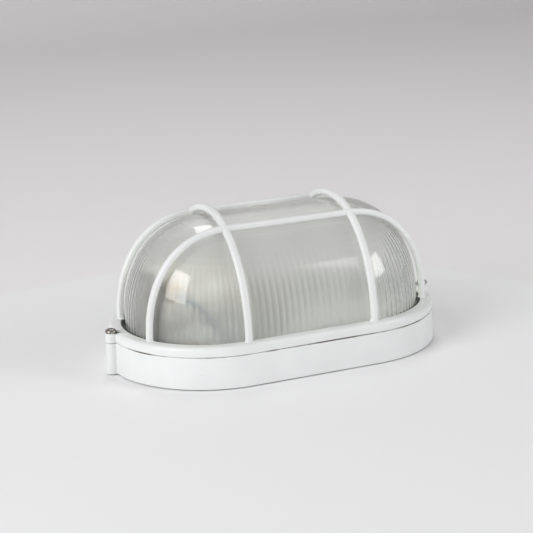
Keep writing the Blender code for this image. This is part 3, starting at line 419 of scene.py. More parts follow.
# %% Grid surfaces
def grid_faces(rows, columns, rows_close=False):
    """Four-cornered faces of a grid whose columns close into a loop, numbered row by row."""
    row = np.arange(rows if rows_close else rows - 1)[:, None]
    column = np.arange(columns)[None, :]
    above, beside = (row + 1) % rows, (column + 1) % columns
    here, next_row = row * columns, above * columns
    corners = [here + column, here + beside, next_row + beside, next_row + column]
    return np.stack(corners, axis=-1).reshape(-1, 4)


def mesh_object(name, points, faces):
    """A mesh object at the origin; faces is a list of arrays, each with faces of one corner count."""
    mesh = bpy.data.meshes.new(name)
    mesh.vertices.add(len(points))
    mesh.vertices.foreach_set("co", np.asarray(points, np.float32).ravel())
    corners = np.concatenate([group.ravel() for group in faces]).astype(np.int32)
    sizes = np.concatenate([np.full(len(group), group.shape[1]) for group in faces]).astype(np.int32)
    mesh.loops.add(len(corners))
    mesh.loops.foreach_set("vertex_index", corners)
    mesh.polygons.add(len(sizes))
    mesh.polygons.foreach_set("loop_start", (np.cumsum(sizes) - sizes).astype(np.int32))
    mesh.update(calc_edges=True)
    item = bpy.data.objects.new(name, mesh)
    bpy.context.scene.collection.objects.link(item)
    return item


def outwards(item):
    """Turns every face of a closed piece to point out of it."""
    work = bmesh.new()
    work.from_mesh(item.data)
    bmesh.ops.recalc_face_normals(work, faces=work.faces)
    work.to_mesh(item.data)
    work.free()
    return item


def finish_piece(item, body, slot, smooth=40.0):
    """Smooth shading up to an angle, the finish, the body that the piece rides on and its slot."""
    item.data.shade_smooth()
    item.data.set_sharp_from_angle(angle=math.radians(smooth))
    item.data.materials.clear()
    item.data.materials.append(finish_of[slot])
    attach(item, body)
    return item


def report(piece):
    """Prints a piece's size and its count of triangles."""
    count = sum(len(face.vertices) - 2 for face in piece.data.polygons)
    print(piece.name, "triangles:", count, "size in mm:", [round(side / MM, 1) for side in piece.dimensions])


print("grid of 3 by 4 has", len(grid_faces(3, 4)), "faces")

# %% [markdown]
# ## The oval plan
#
# Seen from above, every main part is an oval: two half circles joined by straight runs. Each point has a foot
# on the middle line and an offset away from it, so a larger or smaller oval reuses the same feet. Where the
# light has a screw column at each end, the outer outline swells round it, with a small hollow fillet on both
# sides. The column could be a separate cylinder, but one outline keeps the casting in one skin.

# %% Sizes of the oval
guard_low, guard_high = (np.array(corner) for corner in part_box("guard_frame"))
glass_low, glass_high = (np.array(corner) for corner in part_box("glass_diffuser"))
HALF_STRAIGHT = 39.5 * MM
BASE_RADIUS, SEAM_RADIUS = 60.0 * MM, 59.4 * MM
LUG_RADIUS, LUG_FLARE, LUG_FILLET = 3.3 * MM, 0.3 * MM, 0.8 * MM
LUG_X = guard_high[0] - LUG_RADIUS
SEAM_TOP, RING_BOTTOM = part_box("housing")[1][2], guard_low[2]
RING_TOP, RING_PLATE, RING_SKIRT = 24.4 * MM, 2.7 * MM, 2.1 * MM
RING_INNER = 52.4 * MM
EDGE, SEAM_EDGE = 0.4 * MM, 0.2 * MM
ARC_STEPS, FILLET_STEPS, COLUMN_STEPS, STRAIGHT_STEPS = 30, 5, 8, 8
COLUMN_HALF_ANGLE = math.radians(4.1)
print("seam radius", SEAM_RADIUS / MM, "screw column at", round(LUG_X / MM, 2))

# %% Oval outlines
def end_with_column(radius, lug_radius):
    """Offsets from the end foot, from +Y over +X towards -Y, round a half circle with a screw column.

    The fillet's centre lies where circles of radius + fillet and column + fillet meet, so its angle follows
    from the cosine rule. Arc, fillet and column follow each other, and the lower half mirrors the upper."""
    gap = LUG_X - HALF_STRAIGHT
    far, near = radius + LUG_FILLET, lug_radius + LUG_FILLET
    opening = math.acos((far ** 2 + gap ** 2 - near ** 2) / (2 * far * gap))
    centre = far * np.array((math.cos(opening), math.sin(opening)))
    facing = math.atan2(centre[1], centre[0] - gap)

    def arc(middle, size, start, end, steps):
        """Points of a circle from one angle to another, without the last."""
        turn = np.linspace(start, end, steps, endpoint=False)
        return middle + size * np.column_stack([np.cos(turn), np.sin(turn)])

    half = np.concatenate([
        arc((0, 0), radius, math.pi / 2, opening, ARC_STEPS),
        arc(centre, LUG_FILLET, opening - math.pi, facing - math.pi, FILLET_STEPS),
        arc((gap, 0), lug_radius, facing, 0, COLUMN_STEPS),
        [(gap + lug_radius, 0)]])
    return np.concatenate([half, half[-2:0:-1] * (1, -1)])


def plain_end(radius):
    """The same count of offsets on a plain half circle; the points opposite the column are evenly spread."""
    steps = FILLET_STEPS + COLUMN_STEPS
    turn = np.concatenate([np.linspace(math.pi / 2, COLUMN_HALF_ANGLE, ARC_STEPS, endpoint=False),
                           np.linspace(COLUMN_HALF_ANGLE, 0, steps + 1)])
    turn = np.concatenate([turn, -turn[-2:0:-1]])
    return radius * np.column_stack([np.cos(turn), np.sin(turn)])


def oval_loop(radius, height, lug_radius=None):
    """One closed loop at a height: right end, straight run at -Y, left end, straight run at +Y."""
    end = plain_end(radius) if lug_radius is None else end_with_column(radius, lug_radius)
    slide = np.linspace(HALF_STRAIGHT, -HALF_STRAIGHT, STRAIGHT_STEPS, endpoint=False)
    run = np.column_stack([slide, np.full(STRAIGHT_STEPS, -radius)])
    half = np.concatenate([end + (HALF_STRAIGHT, 0), run])
    loop = np.concatenate([half, -half])
    return np.column_stack([loop, np.full(len(loop), height)])


def loft(loops, closed=False):
    """Points and faces of a skin over equal loops; an open one is capped with a flat face at both ends."""
    rows, columns = len(loops), len(loops[0])
    faces = [grid_faces(rows, columns, rows_close=closed)]
    if not closed:
        faces += [np.arange(columns)[None, ::-1], (rows - 1) * columns + np.arange(columns)[None, :]]
    return np.concatenate(loops), faces


def rounded(start, end, corner, steps=5):
    """Points of a quarter ellipse from start to end that bends round the given corner."""
    turn = np.linspace(0, np.pi / 2, steps)
    start, end, corner = (np.array(point, float) for point in (start, end, corner))
    centre = start + end - corner
    return centre + np.outer(np.cos(turn), start - centre) + np.outer(np.sin(turn), end - centre)


print("an oval of", len(oval_loop(BASE_RADIUS, 0.0)), "points")

# %% [markdown]
# ## Turned tools, cuts and unions
#
# Bosses and drilled holes are round, so they are profiles turned about an axis. They join or cut a casting
# with an exact Boolean, which is applied at once, so the finished piece is a plain mesh.

# %% Turned shapes and Booleans
def turned(profile, columns=32):
    """Points and faces of a profile of (radius, height) turned about Z, with flat caps at both ends."""
    profile = np.asarray(profile, float)
    angle = np.linspace(0, 2 * np.pi, columns, endpoint=False)
    loops = [np.column_stack([r * np.cos(angle), r * np.sin(angle), np.full(columns, z)]) for r, z in profile]
    return loft(loops)


def peg(radius, low, high, x, y):
    """A temporary upright cylinder that joins or cuts a casting."""
    points, faces = turned([(radius, low), (radius, high)])
    return mesh_object("peg", points + (x, y, 0), faces)


def carve(piece, tools, operation):
    """Applies one exact Boolean after another and removes the tools."""
    for tool in tools:
        change = piece.modifiers.new("carve", "BOOLEAN")
        change.object, change.operation, change.solver = tool, operation, "EXACT"
    shaped = piece.evaluated_get(bpy.context.evaluated_depsgraph_get())
    mesh = bpy.data.meshes.new_from_object(shaped)
    piece.modifiers.clear()
    piece.data = mesh
    for tool in tools:
        bpy.data.objects.remove(tool, do_unlink=True)
    return piece


print("a turned peg has", len(turned([(1, 0), (1, 1)])[0]), "points")

# %% [markdown]
# ## The tray
#
# The tray is one pressure casting: a wall that leans in a little, a rim to meet the guard, a ledge for the
# glass, a flat floor with four screw bosses, and a back that stands on a narrow rim. It could be a solid
# block with its hollows cut out, but a skin lofted over a stack of ovals, from the hollow of the back over
# the wall and the rim down to the floor, gives every edge its own rounding.

# %% Tray casting
WALL, LEDGE_WIDTH, LEDGE_DROP = 2.3 * MM, 3.4 * MM, 4.9 * MM
BACK_RIM, BACK_RECESS, FLOOR_TOP, FLOOR_FILLET = 5.0 * MM, 1.8 * MM, 4.2 * MM, 2.0 * MM
RIM_INNER = SEAM_RADIUS - WALL
LEDGE_INNER = RIM_INNER - LEDGE_WIDTH
LEDGE_Z = SEAM_TOP - LEDGE_DROP
LUG_HOLE, PILOT_DEPTH = 1.95 * MM, 15.5 * MM
SMALL_HOLE, BOSS_RADIUS, BOSS_TOP, BOSS_PILOT = 1.6 * MM, 3.8 * MM, 7.2 * MM, 4.4 * MM
WALL_HOLE_X, WALL_HOLE, CABLE_ENTRY = 81.0 * MM, 2.6 * MM, 7.0 * MM
PAST = 1.0 * MM
FOOT_STEP, FOOT_GAP = 1.8 * MM, 0.6 * MM


def screw_axis(node):
    """Where an upright screw stands: the middle of its box."""
    low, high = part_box(node)
    return (low[0] + high[0]) / 2, (low[1] + high[1]) / 2


def tray():
    """The stack of ovals, then bosses joined on and holes cut out."""
    outer = np.concatenate([
        [(BASE_RADIUS - FOOT_STEP, 0), (BASE_RADIUS - FOOT_STEP, FOOT_GAP)],
        rounded((BASE_RADIUS - EDGE, FOOT_GAP), (BASE_RADIUS, FOOT_GAP + EDGE), (BASE_RADIUS, FOOT_GAP)),
        rounded((SEAM_RADIUS, SEAM_TOP - SEAM_EDGE), (SEAM_RADIUS - SEAM_EDGE, SEAM_TOP),
                (SEAM_RADIUS, SEAM_TOP))])
    fillet = rounded((LEDGE_INNER, FLOOR_TOP + FLOOR_FILLET), (LEDGE_INNER - FLOOR_FILLET, FLOOR_TOP),
                     (LEDGE_INNER, FLOOR_TOP))
    rim = BASE_RADIUS - BACK_RIM
    loops = [oval_loop(rim, BACK_RECESS), oval_loop(rim, 0)]
    for radius, height in outer:
        inset = (BASE_RADIUS if height < SEAM_TOP / 2 else SEAM_RADIUS) - radius
        column = LUG_RADIUS + LUG_FLARE * (1 - height / SEAM_TOP) - inset
        loops.append(oval_loop(radius, height, column))
    for radius, height in [(RIM_INNER, SEAM_TOP), (RIM_INNER, LEDGE_Z), (LEDGE_INNER, LEDGE_Z), *fillet]:
        loops.append(oval_loop(radius, height))
    piece = mesh_object("tray_casting", *loft(loops))
    bosses = [screw_axis(node) for node in ("front_bracket_screw", "back_bracket_screw",
                                            "block_fixing_screw", "earth_screw")]
    carve(piece, [peg(BOSS_RADIUS, FLOOR_TOP - PAST, BOSS_TOP, x, y) for x, y in bosses], "UNION")
    holes = [peg(SMALL_HOLE, BOSS_TOP - BOSS_PILOT, BOSS_TOP + PAST, x, y) for x, y in bosses]
    for side in (-1, 1):
        holes.append(peg(LUG_HOLE, SEAM_TOP - PILOT_DEPTH, SEAM_TOP + PAST, side * LUG_X, 0))
        holes.append(peg(WALL_HOLE, -PAST, FLOOR_TOP + PAST, side * WALL_HOLE_X, 0))
    low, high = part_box("cable_grommet")
    entry = (low + high) / 2
    holes.append(peg(CABLE_ENTRY, -PAST, FLOOR_TOP + PAST, entry[0], entry[1]))
    return carve(piece, holes, "DIFFERENCE")


tray_piece = finish_piece(tray(), "base", "white_paint")
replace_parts(tray_piece, "housing")
report(tray_piece)

# %% [markdown]
# ## The guard
#
# The guard is a second casting: a flat ring with a rounded outer edge and a screw collar at each end, two
# long bars and two cross bars. The bars follow the shape of the glass at a small distance. In the side
# view a bar is a superellipse, fuller than a circle, and towards the ends it grows fuller still. A
# bevelled curve could carry the section along a bar, but a computed sweep also lets it flare sideways
# where it meets the ring.

# %% Ring and bars
RING_ROUND, COLLAR_SHARE = 2.0 * MM, 0.3
BAR_WIDTH, BAR_DEPTH, BAR_CORNER, BAR_FILLET, BAR_ROOT = 4.0 * MM, 3.6 * MM, 1.2 * MM, 1.0 * MM, 1.5 * MM
BAR_RADIUS = RING_INNER + BAR_DEPTH / 2
CAGE_HALF_STRAIGHT, CAGE_HEIGHT = 38.6 * MM, guard_high[2] - RING_TOP - BAR_DEPTH / 2
LONG_BAR_Y, CROSS_BAR_X = 25.0 * MM, 39.0 * MM
FULL_SIDE, FULL_END = 2.05, 2.28
KEEPER_POCKET, KEEPER_DEPTH = 2.75 * MM, 1.2 * MM
FINE_STEPS, FOOT_ROWS, FOOT_RUN, PATH_STEP, CORNER_POINTS = 800, 18, BAR_ROOT + 2 * MM, 1.5 * MM, 6


def dome_lift(share, angle):
    """Height share at a plan share of the radius: (1 - share^p)^(1/p), p growing towards the ends."""
    power = FULL_SIDE + (FULL_END - FULL_SIDE) * np.sin(angle) ** 2
    return np.maximum(0.0, 1.0 - np.minimum(share, 1.0) ** power) ** (1 / power)


def even_path(points):
    """The path sampled finely at its feet and about a step apart in between, by its running length."""
    run = np.concatenate([[0], np.cumsum(np.linalg.norm(np.diff(points, axis=0), axis=1))])
    foot = np.linspace(0, FOOT_RUN, FOOT_ROWS)
    middle = np.linspace(foot[-1], run[-1] - foot[-1], int(run[-1] / PATH_STEP))[1:-1]
    marks = np.concatenate([foot, middle, run[-1] - foot[::-1]])
    return np.column_stack([np.interp(marks, run, points[:, axis]) for axis in (0, 1)])


def cross_path():
    """Across and up over the glass: radius times cos^(2/p), height times sin^(2/p)."""
    turn = np.linspace(0, np.pi, 2 * FINE_STEPS + 1)
    across = np.sign(np.cos(turn)) * np.abs(np.cos(turn)) ** (2 / FULL_SIDE) * BAR_RADIUS
    rise = RING_TOP + CAGE_HEIGHT * np.sin(turn) ** (2 / FULL_SIDE)
    path = np.column_stack([across, rise])
    root = np.array([[BAR_RADIUS, RING_TOP - BAR_ROOT]])
    return even_path(np.concatenate([root, path, root * (-1, 1)]))


def long_path():
    """Along the light at a fixed distance from its middle plane, on the dome over the bars' feet."""
    reach = math.sqrt(BAR_RADIUS ** 2 - LONG_BAR_Y ** 2)
    out = reach * np.cos(np.linspace(0, np.pi / 2, FINE_STEPS + 1))
    plan = np.hypot(out, LONG_BAR_Y) / BAR_RADIUS
    half = np.column_stack([CAGE_HALF_STRAIGHT + out,
                            RING_TOP + CAGE_HEIGHT * dome_lift(plan, np.arctan2(out, LONG_BAR_Y))])
    half[0, 1] = RING_TOP
    root = [[CAGE_HALF_STRAIGHT + reach, RING_TOP - BAR_ROOT]]
    half = np.concatenate([root, half])
    return even_path(np.concatenate([half, half[::-1] * (-1, 1)]))


def bar(path, place):
    """A rounded bar swept along a path; place(u, v, w) turns along, up and sideways into a point."""
    ahead = np.gradient(path, axis=0)
    ahead /= np.linalg.norm(ahead, axis=1)[:, None]
    outward = np.column_stack([-ahead[:, 1], ahead[:, 0]])
    outward *= np.sign(outward[len(path) // 2, 1])
    reach = BAR_FILLET - np.clip(path[:, 1] - RING_TOP, 0, BAR_FILLET)
    flare = BAR_FILLET - np.sqrt(np.maximum(BAR_FILLET ** 2 - reach ** 2, 0))
    turn = np.linspace(0, np.pi / 2, CORNER_POINTS)
    corner = BAR_CORNER * np.column_stack([np.cos(turn), np.sin(turn)])
    corner += (BAR_WIDTH / 2 - BAR_CORNER, BAR_DEPTH / 2 - BAR_CORNER)
    section = np.concatenate([corner, corner[::-1] * (-1, 1), -corner, corner[::-1] * (1, -1)])
    wide = section[None, :, 0] + np.sign(section[None, :, 0]) * flare[:, None]
    deep = section[None, :, 1]
    u = path[:, :1] + outward[:, :1] * deep
    v = path[:, 1:] + outward[:, 1:] * deep
    loops = np.stack(place(u, v, wide), axis=-1)
    return mesh_object("bar", *loft(list(loops)))


def ring():
    """The clamping ring: skirt, rounded outer edge with the collars, flat top, thin plate to the inside."""
    skirt = SEAM_RADIUS - RING_SKIRT
    loops = [oval_loop(skirt, RING_BOTTOM)]
    edge = np.concatenate([
        rounded((SEAM_RADIUS - SEAM_EDGE, RING_BOTTOM), (SEAM_RADIUS, RING_BOTTOM + SEAM_EDGE),
                (SEAM_RADIUS, RING_BOTTOM), 4),
        rounded((SEAM_RADIUS, RING_TOP - RING_ROUND), (SEAM_RADIUS - RING_ROUND, RING_TOP),
                (SEAM_RADIUS, RING_TOP), 9)])
    for radius, height in edge:
        loops.append(oval_loop(radius, height, LUG_RADIUS - COLLAR_SHARE * (SEAM_RADIUS - radius)))
    for radius, height in [*rounded((RING_INNER + EDGE, RING_TOP), (RING_INNER, RING_TOP - EDGE),
                                    (RING_INNER, RING_TOP), 4),
                           (RING_INNER, RING_TOP - RING_PLATE), (skirt, RING_TOP - RING_PLATE)]:
        loops.append(oval_loop(radius, height))
    return mesh_object("guard_casting", *loft(loops, closed=True))


def guard():
    """Ring, bars and collars as one casting, with the screw holes through the collars."""
    piece, cross, along = ring(), cross_path(), long_path()
    bars = [bar(cross, lambda u, v, w, x=x: (x + w + 0 * u, u + 0 * w, v + 0 * w))
            for x in (-CROSS_BAR_X, CROSS_BAR_X)]
    bars += [bar(along, lambda u, v, w, y=y: (u + 0 * w, y + w + 0 * u, v + 0 * w))
             for y in (-LONG_BAR_Y, LONG_BAR_Y)]
    for tool in bars:
        outwards(tool)
    carve(piece, bars, "UNION")
    holes = []
    for side in (-1, 1):
        holes.append(peg(LUG_HOLE, RING_BOTTOM - PAST, RING_TOP + PAST, side * LUG_X, 0))
        holes.append(peg(KEEPER_POCKET, RING_BOTTOM - PAST, RING_BOTTOM + KEEPER_DEPTH, side * LUG_X, 0))
    return carve(piece, holes, "DIFFERENCE")


guard_piece = finish_piece(guard(), "cover", "white_paint")
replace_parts(guard_piece, "guard_frame")
report(guard_piece)

# %% [markdown]
# ## The glass
#
# The dome is pressed in one piece. Outside it is smooth. Inside, upright ribs run round the wall up to the
# shoulder, and above them come a few shallow rings that follow the oval. Both faces are one formula: a
# superellipse over the oval plan. The ribs are the square of a raised cosine along the outline. They are
# deepest a third of the way up, die away at the shoulder, and are much shallower round the two ends. Bump
# could draw them too, but where the view runs slantwise through the wall, only real ribs close up and
# overlap.

# %% Ribbed glass dome
GLASS_RADIUS, GLASS_HEIGHT = 50.7 * MM, glass_high[2] - RING_TOP
GLASS_HALF_STRAIGHT = 38.9 * MM
GLASS_WALL, RIB_DEPTH, RIB_PITCH, RIB_TOP, RIB_SHARPNESS = 3.3 * MM, 0.42 * MM, 3.9 * MM, 0.80, 2
FLANGE_RADIUS, FLANGE_BOTTOM, FLANGE_TOP = glass_high[1], glass_low[2], 19.4 * MM
RIB_AT_FOOT, RIB_PEAK, RIB_REACH, RIB_LOSS_AT_END = 0.60, 0.38, 0.24, 0.80
SHOULDER_RINGS, SHOULDER_RELIEF = 9, 0.30 * MM
COLUMNS_PER_RIB, OUTER_ROWS, RIB_ROWS, SHOULDER_ROWS = 8, 24, 16, 42
SHOULDER_SHARE, RINGS_END, POLE = 0.80, 0.30, 0.015
FLANGE_LOOPS = 5


def feet_along(count, radius):
    """Feet and directions evenly spaced along an oval of that radius, from (half straight, -radius) on."""
    arc, straight = math.pi * radius, 2 * GLASS_HALF_STRAIGHT
    run = np.arange(count) / count * 2 * (arc + straight)
    side = np.where(run < arc + straight, 1.0, -1.0)
    run = run % (arc + straight)
    turn = np.minimum(run / radius, math.pi)
    foot = side * (GLASS_HALF_STRAIGHT - np.maximum(run - arc, 0))
    return foot, np.column_stack([side * np.sin(turn), -side * np.cos(turn)])


def dome_rows(foot, direction, shares, radius, height, push):
    """Dome points for every share and column: foot + share x radius, and the superellipse's height.

    push moves each point back towards its foot, as the ribs and rings of the inside do."""
    lean = np.arctan2(np.abs(direction[:, 0]), np.abs(direction[:, 1]))[None, :]
    out = shares[:, None] * radius
    rise = RING_TOP + height * dome_lift(shares[:, None], lean)
    out = np.maximum(out - push, 0.0)
    return np.stack([foot + out * direction[:, 0], out * direction[:, 1], rise + 0 * out], axis=-1)


def glass_dome():
    """One skin: from the top of the outside down to the flange, under it and up the ribbed inside."""
    ribs = round((2 * math.pi * GLASS_RADIUS + 4 * GLASS_HALF_STRAIGHT) / RIB_PITCH)
    columns = ribs * COLUMNS_PER_RIB
    foot, direction = feet_along(columns, GLASS_RADIUS)
    wave = (0.5 - 0.5 * np.cos(2 * np.pi * np.arange(columns) / COLUMNS_PER_RIB)) ** RIB_SHARPNESS

    def flat(radius, height):
        """A level loop round the oval."""
        return np.column_stack([foot + radius * direction[:, 0], radius * direction[:, 1],
                                np.full(columns, height)])

    outer_shares = np.sin(np.linspace(math.asin(POLE), np.pi / 2, OUTER_ROWS))
    outside = dome_rows(foot, direction, outer_shares, GLASS_RADIUS, GLASS_HEIGHT, 0.0)
    low = np.sin(np.linspace(np.pi / 2, math.asin(SHOULDER_SHARE), RIB_ROWS, endpoint=False))
    high = np.sin(np.linspace(math.asin(SHOULDER_SHARE), math.asin(POLE), SHOULDER_ROWS))
    inner_shares = np.concatenate([low, high])
    lift = dome_lift(inner_shares, 0.0)
    fade = np.maximum(0.0, 1.0 - (lift / RIB_TOP) ** 4)
    fade *= RIB_AT_FOOT + (1 - RIB_AT_FOOT) * np.exp(-((lift - RIB_PEAK) / RIB_REACH) ** 2)
    wave *= 1 - RIB_LOSS_AT_END * direction[:, 0] ** 2
    ring_place = np.clip((SHOULDER_SHARE - inner_shares) / (SHOULDER_SHARE - RINGS_END), 0, 1)
    steps = 0.5 - 0.5 * np.cos(2 * np.pi * SHOULDER_RINGS * ring_place)
    push = RIB_DEPTH * fade[:, None] * wave[None, :] + SHOULDER_RELIEF * steps[:, None]
    inside = dome_rows(foot, direction, inner_shares, GLASS_RADIUS - GLASS_WALL,
                       GLASS_HEIGHT - GLASS_WALL, push)
    foot_ring = inside[0].copy()
    foot_ring[:, 2] = FLANGE_BOTTOM
    loops = [*outside, flat(GLASS_RADIUS, FLANGE_TOP), flat(FLANGE_RADIUS - EDGE, FLANGE_TOP),
             flat(FLANGE_RADIUS, FLANGE_TOP - EDGE), flat(FLANGE_RADIUS, FLANGE_BOTTOM), foot_ring, *inside]
    return mesh_object("glass_dome", *loft(loops))


def frost_inside(piece):
    """Gives the inside of the dome the satin finish.

    The rows of faces run from the top of the outside down, round the flange and up the inside, so the inside
    is every face past a count. The two caps come last, and the first of them closes the outside."""
    loops = OUTER_ROWS + FLANGE_LOOPS + RIB_ROWS + SHOULDER_ROWS
    columns = len(piece.data.vertices) // loops
    frosted = np.arange(len(piece.data.polygons)) >= (OUTER_ROWS + FLANGE_LOOPS - 1) * columns
    frosted[-2] = False
    piece.data.materials.append(satin_glass)
    piece.data.polygons.foreach_set("material_index", frosted.astype(np.int32))


glass_piece = finish_piece(outwards(glass_dome()), "cover", "pressed_glass", smooth=50.0)
frost_inside(glass_piece)
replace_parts(glass_piece, "glass_diffuser")
report(glass_piece)

# %% [markdown]
# ## Gaskets
#
# Two rubber rings squeeze the flange of the glass. Their section is a flat oblong with rounded corners.
# The upper one has a lip that fills the gap between the guard's ring and the glass. At the ends of the
# oval the lip is squeezed up further, so it shows there as a dark wedge. A bevel could round the corners,
# but here the rounded section is simply carried round the oval, as an extruder would make it.

# %% Rubber rings
RUBBER_ROUND, SEAT_GAP, LIP_GAP = 0.35 * MM, 0.3 * MM, 0.15 * MM
LIP_DROP, LIP_RISE = 0.6 * MM, 0.35 * MM


def gasket(name, outline, body):
    """A section with round corners carried round the oval; outline lists its corners in turn.

    A point above the frame's piece belongs to the lip and rises with the square of the oval's end
    direction, which is 0 along the straight runs and 1 at both ends."""
    corners = np.array(outline)
    before, after = np.roll(corners, 1, axis=0) - corners, np.roll(corners, -1, axis=0) - corners
    before *= RUBBER_ROUND / np.linalg.norm(before, axis=1)[:, None]
    after *= RUBBER_ROUND / np.linalg.norm(after, axis=1)[:, None]
    section = np.concatenate([rounded(place + back, place + on, place, 4)
                              for place, back, on in zip(corners, before, after)])
    points, faces = loft([oval_loop(r, z) for r, z in section], closed=True)
    past_foot = np.maximum(np.abs(points[:, 0]) - HALF_STRAIGHT, 0)
    end_share = (past_foot / np.hypot(past_foot, points[:, 1])) ** 2
    points[:, 2] += LIP_RISE * end_share * (points[:, 2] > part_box(name)[1][2] + RUBBER_ROUND)
    ring_piece = mesh_object(name + "_ring", points, faces)
    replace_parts(finish_piece(outwards(ring_piece), body, "black_rubber"), name)
    return ring_piece


inner, outer = LEDGE_INNER + SEAT_GAP, RIM_INNER - SEAT_GAP
low, high = (corner[2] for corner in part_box("housing_gasket"))
report(gasket("housing_gasket", [(outer, low), (outer, high), (inner, high), (inner, low)], "base"))
inner, outer = GLASS_RADIUS + LIP_GAP, SEAM_RADIUS - RING_SKIRT - SEAT_GAP
low, high = (corner[2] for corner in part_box("diffuser_gasket"))
lip_side, lip_top = RING_INNER - LIP_GAP, RING_TOP - LIP_DROP
report(gasket("diffuser_gasket", [(outer, low), (outer, high), (lip_side, high), (lip_side, lip_top),
                                  (inner, lip_top), (inner, low)], "cover"))

# %% [markdown]
# ## Screws with a cross recess
#
# The two cover screws show in their columns, and smaller ones hold the lampholder, its bracket and the earth
# wire. Each is turned: a pan head over a shank. The thread is a helix, so its radius is a wave of the angle
# plus the height, and one more turn of the angle moves the wave up by one pitch.

# %% Pan head screws
PAN_PROFILE = ((0.97, 0.0), (1.0, 0.12), (1.0, 0.28), (0.96, 0.5), (0.88, 0.68), (0.74, 0.84),
               (0.55, 0.94), (0.32, 0.985), (0.12, 1.0))
SCREW_COLUMNS, ROWS_PER_TURN = 32, 8
THREAD_SHARE, RUN_OUT_TURNS, TIP_SHARE, TIP_LENGTH = 0.16, 1.5, 0.28, 0.3
RECESS_ARM, RECESS_WING, RECESS_FLOOR, RECESS_TAPER = 0.55, 0.13, 0.45, 0.6
COVER_SCREW = (1.65 * MM, 2.2 * MM, 0.7 * MM)
SMALL_SCREW = (1.3 * MM, 1.8 * MM, 0.5 * MM)


def pan_screw(name, radius, length, head_radius, head_height, pitch):
    """Shank with a helical thread, pan head above z = 0 and a cross recess, all about Z.

    The thread sinks by a share of the radius times a raised cosine, and runs out at both ends."""
    angle = np.linspace(0, 2 * np.pi, SCREW_COLUMNS, endpoint=False)[None, :]
    rows = max(ROWS_PER_TURN, int(length / pitch * ROWS_PER_TURN))
    height = np.linspace(-length, 0, rows)[:, None]
    ends = np.minimum(1, np.minimum(height + length, -height) / (RUN_OUT_TURNS * pitch))
    wave = 0.5 - 0.5 * np.cos(2 * np.pi * height / pitch - angle)
    tip = 1 - TIP_SHARE * np.clip(1 - (height + length) / (TIP_LENGTH * radius), 0, 1)
    thick = radius * tip * (1 - THREAD_SHARE * ends * wave)
    shank = np.stack([thick * np.cos(angle), thick * np.sin(angle), height + 0 * angle], axis=-1)
    head = [np.column_stack([out * head_radius * np.cos(angle[0]), out * head_radius * np.sin(angle[0]),
                             np.full(SCREW_COLUMNS, up * head_height)]) for out, up in PAN_PROFILE]
    piece = mesh_object(name, *loft([*shank, *head]))
    arm, wing, low = RECESS_ARM * head_radius, RECESS_WING * head_radius, RECESS_FLOOR * head_height
    tools = []
    for long_x, long_y in ((arm, wing), (wing, arm)):
        mouth = np.array([(long_x, long_y), (-long_x, long_y), (-long_x, -long_y), (long_x, -long_y)])
        loops = [np.column_stack([mouth * share, np.full(4, z)])
                 for share, z in ((RECESS_TAPER, low), (1.0, head_height), (1.0, head_height + PAST))]
        tools.append(mesh_object("recess", *loft(loops)))
    return carve(piece, [outwards(tool) for tool in tools], "DIFFERENCE")


def place_screw(name, node, sort, body, along="Z", spin=20.0):
    """Makes the screw that fills a frame node's box; sort gives its shank radius, head height and pitch.

    An upright screw keeps its shape and only turns about its axis. One along X has its head on the -X side,
    so its height runs backwards along X."""
    radius, head_height, pitch = sort
    low, high = (np.array(corner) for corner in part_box(node))
    middle, size = (low + high) / 2, high - low
    axis = "XYZ".index(along[-1])
    head_radius = size[(axis + 1) % 3] / 2 if axis else size[1] / 2
    piece = pan_screw(name, radius, size[axis] - head_height, head_radius, head_height, pitch)
    turn = math.radians(spin)
    points = np.array([vertex.co for vertex in piece.data.vertices])
    x, y = (points[:, 0] * math.cos(turn) - points[:, 1] * math.sin(turn),
            points[:, 0] * math.sin(turn) + points[:, 1] * math.cos(turn))
    if axis == 2:
        moved = np.column_stack([middle[0] + x, middle[1] + y, high[2] - head_height + points[:, 2]])
    else:
        moved = np.column_stack([low[0] + head_height - points[:, 2], middle[1] + y, middle[2] + x])
    piece.data.vertices.foreach_set("co", moved.astype(np.float32).ravel())
    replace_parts(finish_piece(outwards(piece), body, "zinc_plated_steel", smooth=35.0), node)
    return piece


for side, spin in (("left", 24.0), ("right", 62.0)):
    report(place_screw(side + "_pan_screw", side + "_cover_screw", COVER_SCREW, side + "_screw", spin=spin))
for node in ("front_bracket_screw", "back_bracket_screw", "earth_screw"):
    place_screw(node + "_fine", node, SMALL_SCREW, "base", spin=8.0)
for node in ("front_holder_screw", "back_holder_screw"):
    place_screw(node + "_fine", node, SMALL_SCREW, "base", along="X", spin=31.0)

# %% [markdown]
# ## The threaded shell of the lampholder
#
# The brass shell is thin sheet rolled into a coarse round thread. A Screw modifier could wind it, but its
# ends would then need cutting square. Here both faces follow one helix formula, a wall apart, and the
# thread runs out before the ends. The bottom turns inwards to a flange round the centre contact.

# %% Brass shell
SHELL_RADIUS, SHELL_WALL, SHELL_THREAD, SHELL_PITCH = 13.7 * MM, 0.5 * MM, 0.6 * MM, 3.6 * MM
SHELL_HOLE = 7.8 * MM
SHELL_COLUMNS, SHELL_ROWS, SHELL_RUN_OUT = 96, 90, 0.4


